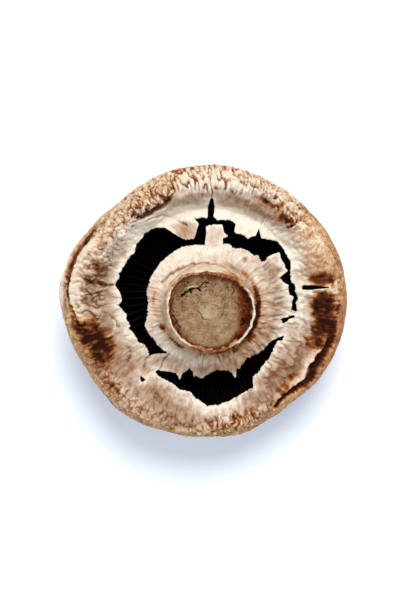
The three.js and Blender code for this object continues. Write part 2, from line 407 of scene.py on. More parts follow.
# Where the folds start, in mm from the axis, how high they are and how brown their creases: partly their own
# brown, partly painted shade.
FOLD_START = [
    (-172, 37), (-160, 39), (-138, 39), (-118, 39.5), (-95, 39.5), (-80, 38.5), (-66, 39.4), (-50, 40),
    (-20, 42), (0, 42.5), (20, 41.5), (40, 39.5), (47, 38), (62, 41.5), (75, 40), (95, 40), (104, 41.5),
    (112, 38.8), (124, 38.4), (132, 37.5), (150, 35.5), (168, 35), (180, 35.5),
]
FOLD_HEIGHT = [
    (-165, 0.6), (-135, 0.5), (-100, 0.5), (-80, 0.7), (-62, 0.6), (-40, 0.45), (0, 0.4), (30, 0.35),
    (45, 0.9), (55, 0.9), (65, 0.8), (90, 0.85), (104, 0.8), (112, 0.95), (140, 0.8), (152, 0.65),
    (170, 0.6),
]
FOLD_CREASE_BROWN_AND_SHADE = [
    (-170, 0.5), (-150, 0.3), (-138, 0.6), (-120, 0.4), (-100, 0.35), (-86, 0.65), (-75, 0.75), (-62, 0.6),
    (-30, 0.3), (0, 0.4), (25, 0.2), (38, 0.25), (47, 0.7), (60, 0.5), (75, 0.7), (95, 0.75), (108, 0.7),
    (130, 0.65), (150, 0.5), (165, 0.42),
]
# How much of the margin's relief is ruffles and how much is fingers. The rest is small flakes.
RUFFLED = [
    (-175, 0.9), (-160, 0.5), (-140, 0.3), (-110, 0.5), (-70, 0.6), (-45, 0.5), (-20, 0.6), (0, 0.5),
    (20, 0.3), (45, 0.2), (110, 0), (128, 0.2), (150, 0.6), (170, 0.7),
]
FINGERED = [(-180, 0), (56, 0), (66, 0.9), (104, 0.9), (113, 0)]
# Rumples of the sheet inside the margin, in mm.
RUMPLED = [
    (-180, 0.45), (-140, 0.5), (-90, 0.55), (-45, 0.95), (-10, 0.9), (25, 0.65), (45, 0.4), (90, 0.25),
    (120, 0.25), (150, 0.4),
]
fold_starts = [start for _, start in FOLD_START]
print("the folds start", min(fold_starts), "to", max(fold_starts), "mm from the axis")

# %% [markdown]
# The flesh is bruised dark where it was pressed, and stained a little browner or paler in wide soft places.
# A few of these places are painted light and shade instead, and each of them is marked in the lists below.
# Each place is an oval that fades at its edge: (degrees, mm), half sizes (degrees, mm), strength, softness.
# Where bruises overlap, the flesh gets darker but never past black. Stains are simply added.

# %% Bruises and stains, with some painted light and shade
BRUISES_AND_PAINTED_SHADE = [
    ((-161, 38.9), (7, 3.7), 0.66, 0.8), ((-168.5, 43.2), (5.5, 2), 0.62, 0.7),
    ((-174, 45.2), (5, 1.6), 0.55, 0.6), ((-172, 40.6), (5, 2.6), 0.5, 0.7),
    ((-157, 40), (9, 4.8), 0.3, 0.8), ((158, 40.4), (3, 1.2), 0.4, 0.6), ((-141, 43), (5, 2), 0.45, 0.8),
    ((12.5, 40.6), (3.6, 4.4), 0.85, 0.6), ((0, 39.8), (6.6, 3.4), 0.86, 0.5),
    ((-11, 40.6), (6, 2.8), 0.8, 0.6), ((-19, 41.8), (4, 2.6), 0.6, 0.6),
    ((-13, 44.4), (7, 1.5), 0.85, 0.7), ((-2, 44), (12, 2.4), 0.45, 0.6),
    ((-47.5, 40), (4.5, 1.8), 0.5, 0.8), ((-40, 38.8), (2.6, 1.5), 0.34, 0.8),
    ((-20, 37.8), (3.2, 1.6), 0.3, 0.9), ((60, 41.0), (6, 0.9), 0.5, 0.5),
    ((50, 39.6), (2.4, 1.6), 0.5, 0.7), ((46.5, 40.6), (2.0, 1.2), 0.5, 0.7),
    ((54, 42.5), (2.4, 1.2), 0.4, 0.7), ((-77, 42.3), (3, 1.6), 0.35, 0.8),
    ((-83, 42.6), (2.6, 1.4), 0.35, 0.8), ((-72, 40.9), (2.6, 1.4), 0.3, 0.8),
    # The thin dark lines round the stem's foot, at (-7, 17.7), (204, 16.9), (230, 16.5) and (282, 16.6), are
    # partly bruise and partly painted shade in the join of stem and collar.
    ((-67, 39.6), (2.6, 1.2), 0.3, 0.8), ((-7, 17.7), (34, 1.1), 0.8, 0.5),
    ((-38, 19.2), (8, 1.2), 0.45, 0.7), ((-58, 18.2), (8, 1.0), 0.4, 0.7), ((40, 17), (7, 0.8), 0.4, 0.6),
    ((168, 18.4), (12, 0.6), 0.35, 0.8), ((187, 17.8), (7, 0.6), 0.3, 0.8),
    ((204, 16.9), (5, 0.9), 0.6, 0.5), ((230, 16.5), (15, 0.5), 0.55, 0.5),
    ((282, 16.6), (22, 0.5), 0.45, 0.6),
]
# A strength below 0 makes the place paler.
STAINS_AND_PAINTED_LIGHT = [
    ((-160, 38.5), (15, 7), 0.12, 0.7), ((-161, 39), (8, 3.6), 0.12, 0.7),
    ((-172, 41.2), (6, 3.2), 0.14, 0.7), ((163, 40.5), (5, 3.6), 0.15, 0.6),
    ((158, 39), (3, 1.5), 0.3, 0.5), ((172, 40), (5, 3.4), 0.15, 0.6), ((58, 38.8), (10, 3.2), 0.22, 0.5),
    # At the end of the next line, (88, 38) is painted light: it makes the steep wall at the top paler, where
    # it faces away from the window lamp.
    ((174, 42), (24, 4), -0.06, 0.7), ((184, 35), (24, 3.4), 0.07, 0.7), ((88, 38), (40, 8), -0.05, 0.6),
    # At the end of the next line, (84, 37) is painted light: it browns that same wall to stand for the warm
    # light that bounces onto it.
    ((176, 39.6), (4, 2.4), 0.16, 0.7), ((167, 40), (4, 2.4), 0.14, 0.7), ((84, 37), (24, 2.6), 0.17, 0.25),
    ((86, 32), (30, 2.2), -0.34, 0.3), ((75.5, 42.2), (4, 1.9), -0.3, 0.4),
    ((41.5, 42.4), (2.6, 1.6), -0.25, 0.5), ((76, 46.4), (28, 2.4), -0.2, 0.5),
    ((32, 40.5), (9, 8), -0.16, 0.7), ((-12, 47.5), (14, 1.8), 0.12, 0.7),
    ((50.5, 20.6), (3, 1.0), 0.35, 0.5), ((58, 16.2), (9, 0.5), 0.22, 0.8), ((104, 27), (9, 3.0), 0.2, 0.6),
    ((118, 40), (12, 4), 0.10, 0.7), ((-66, 17.5), (10, 2), 0.15, 0.7),
    ((163, 49.4), (16, 1.5), -0.45, 0.5), ((-84, 36.8), (13, 1.9), -0.2, 0.6),
    ((-92, 40.5), (40, 3), 0.05, 0.7), ((137, 38), (8, 6), -0.1, 0.7), ((-6, 34.2), (16, 1.6), -0.18, 0.7),
    ((38, 34), (16, 1.8), -0.24, 0.5), ((108, 33.6), (14, 1.6), -0.22, 0.5),
    ((114, 26.5), (16, 4), 0.13, 0.6), ((-105, 34), (10, 1.6), -0.14, 0.7),
    # The second place on the next line, at (-95, 18), is painted light: it makes the collar paler just below
    # the stem, where the stem's shadow falls.
    ((166, 20), (10, 2.4), 0.14, 0.8), ((-95, 18), (46, 3.0), -0.32, 0.7),
    ((126, 36), (12, 2.0), -0.12, 0.7), ((-105, 46.8), (58, 3.4), -0.07, 0.6),
    ((-126, 32), (26, 6), 0.13, 0.7), ((-50, 34.5), (30, 5), 0.07, 0.7), ((20, 19), (30, 3), -0.1, 0.7),
    ((162, 34.5), (20, 3.6), 0.17, 0.8), ((84, 25.5), (6, 3.6), 0.1, 0.6), ((30, 25.5), (9, 4), 0.1, 0.6),
]


def patches(angle, radius, places):
    """The strengths of a list of oval places, each faded at its edge: one array for each."""
    return [strength * spot(angle, radius, at, half, edge) for at, half, strength, edge in places]


def bruising_and_shade(angle, radius):
    """How dark the bruises, and the painted shade round the stem's foot, make the flesh, from 0 to 1."""
    return 1 - np.prod([1 - share for share in patches(angle, radius, BRUISES_AND_PAINTED_SHADE)], axis=0)


print(len(BRUISES_AND_PAINTED_SHADE), "bruises and", len(STAINS_AND_PAINTED_LIGHT), "stains")

# %% [markdown]
# A few creases, seams and flap edges are long and narrow. They are drawn as lines that the surface sinks
# along, and a little noise makes them sway as a tear in flesh does. The browning of one, the gash at the
# upper right, is painted shadow under the skin's curled edge.

# %% Drawn creases and seams
# Half width and depth in mm, browning, and the path. A ridge has a depth below 0.
MARKS = [
    (0.9, 2.4, 0.5, [(-24.7, 31.4), (-22.3, 30.8), (-19.9, 32.1), (-17.2, 33.8), (-14.8, 34.8), (-13.2, 36.5),
                     (-12.6, 38.6), (-11.6, 40)]),
    (0.4, 0.8, 0.3, [(-16, 37.7), (-14.2, 36.2), (-12.5, 36.9)]),
    (0.5, 0.5, 0.35, [(-41, 10.4), (-39, 9), (-36.7, 8.9), (-34.7, 7.6), (-31.6, 7.6)]),
    (0.35, 0.7, 0.5, [(27.6, 26.8), (29.2, 28.0), (30.9, 29.3), (32.9, 29.7), (34.4, 29.1), (35.4, 27.4)]),
    # The gash at the upper right: its browning is painted shadow under the skin's curled edge.
    (0.6, 1.4, 0.6, [(13.4, 42.3), (15.6, 41.0), (18.4, 40.4), (21.4, 39.2), (23.4, 37.4)]),
    (0.5, -0.5, -0.12, [(-34.1, -1.5), (-32.4, -4.1), (-31.3, -6.6), (-32.5, -9.6), (-34.6, -10.4)]),
    (0.35, 0.4, 0.3, [(-33.3, -2.8), (-31.2, -4.8), (-30.2, -7)]),
    (0.3, 0.6, 0.35, [(1.4, 37.2), (1.6, 39.9)]),
    (0.3, 0.4, 0.3, [(18.4, 26.4), (18.7, 27.4), (19.6, 28.8)]),
    (0.3, 0.4, 0.35, [(-20.9, 29.3), (-18, 30.5), (-14.4, 31.3), (-11.6, 30.2), (-9.4, 29), (-6.5, 27.7)]),
    (0.3, 0.4, 0.2, [(-27.4, -13.7), (-26.3, -14.8), (-26.1, -17.2), (-27.2, -19.2)]),
    (0.35, 0.6, 0.2, [(-13, -16.9), (-14.1, -18.1), (-15.2, -19.4), (-15.8, -21.7)]),
    (0.35, 0.6, 0.2, [(-19.7, -17.4), (-20.9, -18.6), (-21.6, -21.4)]),
    (0.3, 0.3, 0.25, [(5.3, 44.1), (7.6, 43.8), (9.6, 42.5), (12, 42.7), (14.4, 42.1)]),
    (0.25, 0.35, 0.2, [(4.2, -17.7), (4.7, -19.6), (4.6, -21.9)]),
    (0.4, 0.5, 0.45, [(-15.2, 8.6), (-13.4, 10.6), (-10.6, 12.5), (-7.8, 14.0), (-4.9, 14.9), (0.5, 15.2)]),
    (0.4, -0.2, -0.3, [(33.5, 4.9), (36, 4.9), (38.5, 5.4), (42, 6.0)]),
]


def marking(points):
    """The drawn lines at (x, y) points: how deep they go, in mm, and how brown they are."""
    shape = points.shape[:2]
    layers = [np.dstack([points / 1.4, np.full(shape, layer)]) for layer in (0, 7)]
    sway = np.stack([soft_noise(layer, 9) for layer in layers], axis=-1)
    depth, brown = np.zeros(shape), np.zeros(shape)
    for half_width, deep, tone, path in MARKS:
        distance, _ = from_lines(points + 0.3 * sway, lines_of(path))
        share = 1 - smooth_step(half_width * 0.4, half_width * 1.5, distance)
        depth += share * deep
        brown += share * tone
    return depth, brown


print(len(MARKS), "drawn creases and seams")

# %% [markdown]
# Away from bruises, the flesh has browned by its distance from the stem: brown beside it, palest a little
# way out, and brown again on the skin, with more of it at the lower right. On the left the skin has split,
# and a pale ear of it stands off outside the crack.

# %% Ageing, tan and the split on the left
# How browned the flesh is: (mm along the skin from the axis, mean, how much more on the brown side).
AGEING = [
    (14.8, 0.42, 0.30), (17.3, 0.34, 0.26), (20, 0.19, 0.15), (24, 0.27, 0.13), (28, 0.27, 0.08),
    (31, 0.26, 0.10), (34, 0.30, 0.13), (37, 0.33, 0.10), (42, 0.32, 0.05), (44, 0.28, 0.03),
    (46, 0.28, 0.06), (49, 0.28, 0.08), (56, 0.34, 0.08), (66, 0.42, 0), (105, 0.46, 0),
]
BROWN_SIDE = np.radians(-60)
# Where the flesh takes on the warm tan of the skin.
TAN_START = [
    (-172, 40), (-150, 38), (-60, 38), (0, 36), (20, 34), (40, 35), (55, 41), (75, 42), (100, 41),
    (110, 36), (135, 37), (150, 38), (160, 42.5), (176, 42),
]
# The split skin on the left: (degrees, height in mm) of the crack, and of the pale ear outside it. The crack
# sinks only a little, and its dark brown is partly painted shade.
CRACK, EAR = (163, 7.8), (168, 2.6)
# A narrow dark split also runs beside the tissue's edge there: (degrees, mm outside the edge).
SPLIT = (169, 1.2)
# At the upper right the skin has lifted in thin rims: (degrees, mm along the skin).
THIN_RIMS = (66, 50)


def ageing(angle, place):
    """How browned the flesh is, from 0 for cream to 1 for black, before its texture."""
    at, mean, swing = np.transpose(AGEING)
    return np.interp(place, at, mean) + np.interp(place, at, swing) * np.cos(angle - BROWN_SIDE)


def tanning(angle, place):
    """How warm the tan is: 0 for the pale sheet and 1 for the skin."""
    start = by_angle(angle, TAN_START)
    return smooth_step(start, start + 8, place)


print("browning half way to the margin:", ageing(0, 30).round(2), "and on the skin:", ageing(0, 60).round(2))

# %% [markdown]
# ## The surface of torn flesh
#
# Three textures cover the margin, on the tissue and on the skin alike, so that they meet without a seam.
# Ruffles are long wavy folds, fingers are straight and narrow, and flakes are short. All three are swollen
# lumps with narrow creases between them. Noise gives that when its sign is dropped: it swells on both sides
# of zero, and wherever it crosses zero there is a crease.

# %% Ruffles, fingers and flakes
def swollen(noise, crease, soft=0.0):
    """Lumps from 0 to 1 with creases where the noise is 0, and how deep in a crease each point is."""
    away = np.hypot(noise, soft) - soft
    return np.clip(away * 1.9, 0, 1) ** 0.75, 1 - smooth_step(0.02, crease, away)


def torn_texture(angle, place, points):
    """The relief of torn flesh, from about -1 to 1, and how deep in its creases each point is."""
    sway = flat_noise(points, seed=21, size=3.6)
    twist = flat_noise(points, seed=22, size=1.9)
    ruffle = round_noise(angle + 0.04 * sway, place + 1.3 * twist, 23, across=1.6, along=6)
    ruffle += 0.4 * round_noise(angle + 0.02 * twist, place, 24, across=1.2, along=2.6)
    finger = round_noise(angle + 0.01 * sway, place + 0.6 * twist, 25, across=1.1, along=8)
    finger += 0.18 * round_noise(angle, place, 26, across=1.1, along=2)
    flake = round_noise(angle + 0.03 * twist, place + 0.9 * sway, 27, across=1.35, along=2.3)
    ruffled, fingered = by_angle(angle, RUFFLED), by_angle(angle, FINGERED)
    flaked = np.maximum(0, 1 - ruffled - fingered)
    relief, gap = np.zeros(angle.shape), np.zeros(angle.shape)
    for share, noise, swell, crease in [
        (ruffled, ruffle, 2.2, 0.3), (fingered, finger, 1.8, 0.3), (flaked, flake, 1.3, 0.26),
    ]:
        lump, deep = swollen(noise, crease)
        relief += share * swell * (lump - 0.6)
        gap += share * deep
    return relief, gap


lump, crease = swollen(np.array([0.0, 0.3, 0.6]), crease=0.3)
print("noise of 0, 0.3 and 0.6 swells to", lump.round(2), "with creases of", crease.round(2))


# %% [markdown]
# ## The cap
#
# The cap is a thick bowl of flesh in a dry brown skin. Its profile is turned round the stem's axis, with
# most of the rings where the margin rolls over, because that is where the skin is scaly. The texture is
# pushed out along the skin; the dome below has only fine radial fibres. The part's own solid has the
# flattened side that the mushroom lies on, so the points there stop at the same level.

# %% The cap's profile
DOME = [
    (0, -CAP_DEPTH), (15, -CAP_DEPTH + 1.9), (28, -CAP_DEPTH + 6.5), (38.6, -CAP_DEPTH + 13.6),
    (45.7, -CAP_DEPTH + 22.4), (CAP_RADIUS, 0), (47.6, 6.4), (45.6, 11.2), (42.6, CREST_HEIGHT), (40.6, 13.4),
    (MOUTH_RADIUS, 11.6),
]
CEILING = [
    (40.2, 9.4), (41.4, 6.6), (42.3, CEILING_HEIGHT + 18), (39.5, CEILING_HEIGHT + 11.5),
    (33.5, CEILING_HEIGHT + 5.2), (26, CEILING_HEIGHT + 1.4), (17.6, CEILING_HEIGHT), (2, CEILING_HEIGHT),
]
CAP_SEGMENTS, CAP_RINGS = 800, 105
# The scaly skin of the margin starts at this height, and so do the marks on it.
SCALY_FROM, MARKED_FROM = -2, 2
outside = curve_through(DOME, 1500)
travelled = np.append(0, np.cumsum(np.linalg.norm(np.diff(outside, axis=0), axis=1)))
crest = np.argmax(outside[:, 1])
# The distance along the skin from the axis, which is the radius as far as the crest.
places = outside[crest, 0] + travelled[crest] - travelled
ceiling = curve_through(CEILING, 14)
# The stretch that the veil's tissue wraps over, from the crest outwards.
rolled = (np.arange(len(outside)) < crest) & (outside[:, 1] > 3)
over_margin = np.column_stack([outside, places])[rolled][::-1]
print("along the skin from the pole to the crest, mm:", travelled[crest].round(1))


def cap_rings():
    """Rows of (radius, height, place): close together on the margin, wider apart on the dome."""
    crowding = np.cumsum((0.22 + smooth_step(-14, 2, outside[:, 1])) * np.gradient(travelled))
    at = np.linspace(crowding[-1] / 300, crowding[-1], CAP_RINGS)
    return np.stack([np.interp(at, crowding, values) for values in (*outside.T, places)], axis=-1)


def outward(profile):
    """The outward direction of a profile at each of its points, as (radius, height)."""
    along = np.gradient(profile, axis=0)
    along /= np.linalg.norm(along, axis=1, keepdims=True)
    return np.stack([along[:, 1], -along[:, 0]], axis=-1)


def plan(points):
    """The angle and the radius of points, seen along the stem."""
    return np.arctan2(points[..., 1], points[..., 0]), np.hypot(points[..., 0], points[..., 1])


def fibre_coordinates(angle, place):
    """Coordinates for a grain that runs along the radius, in mm on the true ring."""
    return round_points(angle, TRUE_RING, place)


def flattened(points):
    """Lifts to the floor whatever is below it, on the side that the mushroom lies on."""
    up = LEAN[2]
    below = np.maximum(0, -PLACE[2] - points @ up)
    return points + below[:, None] * up


# %% [markdown]
# The skin's own marks come on top of the torn texture: the crack on the left with its ear, the thin rims at
# the upper right, and the groove. The crack and the groove are darkened partly with painted shade, beyond
# what their depth gives. Under the veil's tissue the skin dips, so that the tissue covers it. A value for
# each point then tells the finish how browned, scaly and tanned the flesh is there, and how dark its bruises
# and painted shade make it.

# %% The cap's skin
def crack_and_ear(angle, height, relief, lumps):
    """Where the skin has split on the left, and the pale ear outside, as values from 0 to 1."""
    crack = spot(angle, height + 0.3 * relief, CRACK, (20, 2.8), edge=0.35)
    ear = spot(angle, height + relief + 2.4 * lumps, EAR, (16, 1.7), edge=0.8)
    return crack, ear


def thin_rims(angle, place):
    """Where the skin has lifted in thin rims, from 0 to 1."""
    _, rims = swollen(round_noise(angle, place, 34, across=7, along=1.5), 0.3)
    return rims * spot(angle, place, THIN_RIMS, (50, 5.5))


def build_cap():
    rings = cap_rings()
    grown = ring_angles(CAP_RINGS, CAP_SEGMENTS)
    radius, height, place = (np.broadcast_to(column[:, None], grown.shape) for column in rings.T)
    base = with_the_cap(grown, radius, height)
    angle, true_radius = plan(base)
    place = place * np.where(radius > MOUTH_RADIUS, true_radius / radius, 1)
    from_edge = true_radius - by_angle(angle, TISSUE_EDGE)
    on_margin = smooth_step(MARKED_FROM, MARKED_FROM + 5, height)

    relief, gap = torn_texture(angle, place, base)
    scaly = smooth_step(SCALY_FROM, SCALY_FROM + 9, height) * by_angle(angle, SKIN_FRINGE) * 0.9 + 0.1
    fibres = round_noise(angle, place, 31, across=0.8, along=6)
    lumps = flat_noise(base, seed=32, size=9)
    rims = thin_rims(angle, place)
    crack, ear = crack_and_ear(angle, height, relief, lumps)
    depth, dark = groove(angle, true_radius)
    under_tissue = 1 - smooth_step(-2.2, 0.1, from_edge)
    push = scaly * by_angle(angle, FOLD_HEIGHT) * relief + 0.06 * fibres + 0.45 * lumps - 0.3 * rims
    push = push * (1 - 0.8 * crack) + 1.1 * spot(angle, height, EAR, (14, 3.2)) - 0.2 * crack
    push = (push - on_margin * (depth + under_tissue)) * smooth_step(0, 6, radius)

    across, up = (way[:, None] for way in outward(rings[:, :2]).T)
    skin = with_the_cap(grown, radius + across * push, height + up * push)
    inner = with_the_cap(ring_angles(len(ceiling), CAP_SEGMENTS), ceiling[:, :1], ceiling[:, 1:])
    points, faces = closed_skin(np.vstack([skin, inner]))

    browning = ageing(angle, place) + sum(patches(angle, true_radius, STAINS_AND_PAINTED_LIGHT)) * on_margin
    # Creases of the folds browner and their lumps paler: partly the flesh's own colour, partly painted shade
    # and highlight.
    browning += scaly * by_angle(angle, FOLD_CREASE_BROWN_AND_SHADE) * (gap - 0.3) - 0.27 * ear + 0.42 * crack + 0.36 * rims
    split = spot(angle, from_edge + 0.3 * relief, SPLIT, (18, 0.6), edge=0.5) * on_margin
    # The groove's darkness, which is partly painted shade, goes in with the bruises.
    bruise_and_shade = np.maximum(dark, bruising_and_shade(angle, true_radius)) * on_margin * (1 - ear)
    # The crack's browning above and its darkening here are partly painted shade: the skin sinks only 0.2 mm
    # in it.
    bruise_and_shade = np.maximum(bruise_and_shade, 0.5 * crack * spot(angle, height, (148, 7), (9, 9)))
    bruise_and_shade = np.maximum(bruise_and_shade, 0.55 * split)
    rest = len(points) - browning.size

    def and_inside(values, inside):
        return np.append(values, np.full(rest, inside))

    looks = {
        "browning": and_inside(browning, 0.5),
        "bruise_and_shade": and_inside(bruise_and_shade, 0),
        "inside": and_inside(np.zeros(browning.size), 1),
        "scaly": and_inside(scaly, 0),
        "tanned": and_inside(tanning(angle, place) * (1 - 0.8 * np.maximum(ear, crack)), 1),
        "fibre": np.vstack([fibre_coordinates(angle, place).reshape(-1, 3), np.zeros((rest, 3))]),
    }
    looks["inside"][-2] = 0  # the dome's pole comes after the inside, but it is skin
    return make_piece("cap_flesh", flattened(points), faces, looks)


cap_flesh = build_cap()

# %% [markdown]
# ## The stem
#
# The stem was cut across. Its pith has dried and sunk, and its tougher rind stands up round it as a thin
# curled rim. The cut isn't round, so the rim's radius is a list round the stem. The wall inside the rim has
# gone red brown, and it is widest on the right, where the pith has pulled away from it. The cracks in the
# pith are short lines that the surface sinks along, painted dark as the shade inside them.

# %% Round the cut
# Radius in mm of the rim's inner edge, its width, and how brown it is.
RIM = [
    (0, 14.3), (16, 14.3), (32, 13.8), (50, 13.2), (68, 12.4), (93, 12.3), (110, 13.2), (125, 14.5),
    (140, 15.0), (155, 14.5), (175, 13.8), (190, 13.3), (213, 12.7), (238, 12.5), (261, 12.6), (281, 13.0),
    (300, 13.1), (321, 13.6), (341, 14.0),
]
RIM_WIDTH = [
    (-60, 0.7), (-20, 0.8), (20, 0.9), (45, 1.2), (70, 1.0), (95, 0.9), (130, 0.9), (150, 0.8), (200, 0.7),
    (250, 0.6),
]
RIM_BROWN = [
    (-75, 0.6), (-55, 0.35), (-40, 0.04), (25, 0.04), (38, 0.35), (52, 0.6), (70, 0.55), (125, 0.52),
    (142, 0.35), (160, 0.08), (230, 0.08), (250, 0.5), (270, 0.62),
]
# Width in mm and browning of the wall inside the rim.
WALL_WIDTH = [
    (-60, 0.8), (-33, 2.0), (-10, 2.6), (12, 3.1), (30, 2.4), (48, 1.3), (75, 0.8), (150, 0.7), (180, 0.9),
    (200, 1.5), (222, 1.2), (240, 0.7), (270, 0.6),
]
WALL_BROWN = [
    (-60, 0.85), (-25, 1.0), (10, 1.0), (35, 0.95), (60, 0.72), (95, 0.62), (150, 0.75), (175, 0.9),
    (200, 0.8), (225, 0.72), (250, 0.8), (270, 0.85),
]
# Browning of the stem's outer side, just under the rim.
OUTER_BROWN = [
    (-175, 0.25), (-165, 0.12), (-152, 0.25), (-140, 0.2), (-120, 0.4), (-95, 0.75), (-70, 0.65),
    (-48, 0.5), (-38, 0.8), (0, 0.85), (32, 0.8), (44, 0.2), (52, 0.42), (66, 0.4), (76, 0.05), (125, 0.04),
    (145, 0.12), (158, 0.15), (166, 0.25), (176, 0.2),
]
# The pith's cracks: half width in mm, darkness (painted shade inside the crack), depth in mm, and path.
CRACKS = [
    (0.34, 1, 1.6, [(-9.0, 5.7), (-8.0, 6.6), (-6.7, 7.5), (-5.1, 8.0), (-3.7, 7.6), (-3.0, 6.9)]),
    (0.30, 1, 1.6, [(-6.7, 7.4), (-6.3, 6.6)]),
    (0.16, 0.9, 0.8, [(-3.7, 7.8), (-2.8, 9.0), (-2.0, 9.7), (-0.8, 9.8)]),
    (0.10, 0.6, 0.5, [(-3.6, 0.2), (-3.0, -1.1), (-2.3, -2.3), (-0.9, -2.6)]),
    (0.09, 0.3, 0.3, [(-3.1, 2.5), (-1.4, 2.9), (0.2, 2.7), (3.0, 1.5)]),
    (0.10, 0.6, 0.5, [(7.4, 8.2), (8.3, 7.3), (7.6, 5.8), (7.4, 4.3)]),
    (0.09, 0.5, 0.3, [(7.4, 4.3), (9.4, 2.3), (11.2, 0.2)]),
    (0.10, 0.35, 0.3, [(5.2, 2.9), (4.7, 0.1), (3.6, -1.6)]),
    (0.10, 0.5, 0.4, [(-8.6, 8.0), (-7.4, 9.2), (-7.2, 10.2)]),
    (0.09, 0.4, 0.3, [(-10.6, 4.4), (-9.4, 5.2), (-9.0, 5.7)]),
    (0.25, 0.9, 1.0, [(11.0, -2.9), (11.5, -3.7), (10.9, -4.8)]),
    (0.20, 0.7, 0.6, [(-12.3, -1.0), (-11.2, -3.3), (-9.8, -5.4)]),
]
# Where the thin edge of the pith has curled up beside the largest crack.
CURLED_EDGE = [(-7.4, 8.1), (-5.9, 8.8), (-4.4, 8.5)]
print(len(CRACKS), "cracks in the pith")

# %% The stem's rings
STEM_SEGMENTS = 512
STEM_SIDE = [(17.1, -14.7), (16.3, -6), (15.7, 4), (15.5, 11), (15.3, 14), (15.0, 17)]
# The rings of each zone, from the foot up, over the rim and in to the middle of the cut.
SIDE, CUT_EDGE, ON_RIM, ON_WALL, ON_DISC = range(5)
ZONE_RINGS = [36, 12, 14, 16, 66]
NECK_RADIUS, NECK_HEIGHT = STEM_SIDE[-1]
RIM_FOOT, RIM_CURL, WALL_FOOT = 23.3, 0.9, 22.0  # heights in mm, and how far the rim stands up


def stem_rings(angle):
    """Radii and heights of the stem's rings, the rim's inner radius, and the width of the wall inside it."""
    nicks = round_noise(angle, np.full(angle.shape, 13.0), 45, across=5, along=9)
    nicks += 0.6 * round_noise(angle, np.full(angle.shape, 13.0), 46, across=2, along=9)
    rim_in = eased_by_angle(angle, RIM) + 0.14 * nicks
    rim_out = rim_in + eased_by_angle(angle, RIM_WIDTH) * (1 + 0.3 * np.roll(nicks, 40))
    wall = eased_by_angle(angle, WALL_WIDTH)
    side = curve_through(STEM_SIDE, ZONE_RINGS[SIDE] + 1)[:-1]
    up, over, down, inwards = (np.linspace(0, 1, count, endpoint=False)[:, None] for count in ZONE_RINGS[1:])
    curl = np.pi * over
    radii = [
        side[:, :1],
        NECK_RADIUS + up * (rim_out - NECK_RADIUS),
        (rim_out + rim_in) / 2 + np.cos(curl) * (rim_out - rim_in) / 2,
        rim_in - down * wall,
        (rim_in - wall) * (1 - 0.985 * inwards),
    ]
    heights = [
        side[:, 1:],
        NECK_HEIGHT + up * (RIM_FOOT - NECK_HEIGHT),
        RIM_FOOT + RIM_CURL * np.sin(curl),
        RIM_FOOT - (RIM_FOOT - WALL_FOOT) * down**0.7,
        WALL_FOOT + 0.5 * inwards**0.5,
    ]
    radius, height = (np.vstack([rows + 0 * angle for rows in zones]) for zones in (radii, heights))
    return radius, height, rim_in, wall


def pith_cracks(points):
    """At (x, y) points on the cut: how dark the cracks are, and how deep the pith sinks in them, in mm.

    The darkness is painted shade inside the cracks.
    """
    dark, sunk = np.zeros(points.shape[:-1]), np.zeros(points.shape[:-1])
    for half_width, darkness, depth, path in CRACKS:
        distance, _ = from_lines(points, lines_of(path))
        cut = 1 - smooth_step(half_width * 0.4, half_width + 0.16, distance)
        dark = np.maximum(dark, cut * darkness)
        sunk += cut * depth
    return dark, sunk


# %% [markdown]
# The stem is browned in its own way. The pith is palest in the middle, the wall inside the rim is red
# brown, and the rim itself is cream where it is fresh. The side is streaked and darkens just under the cut.

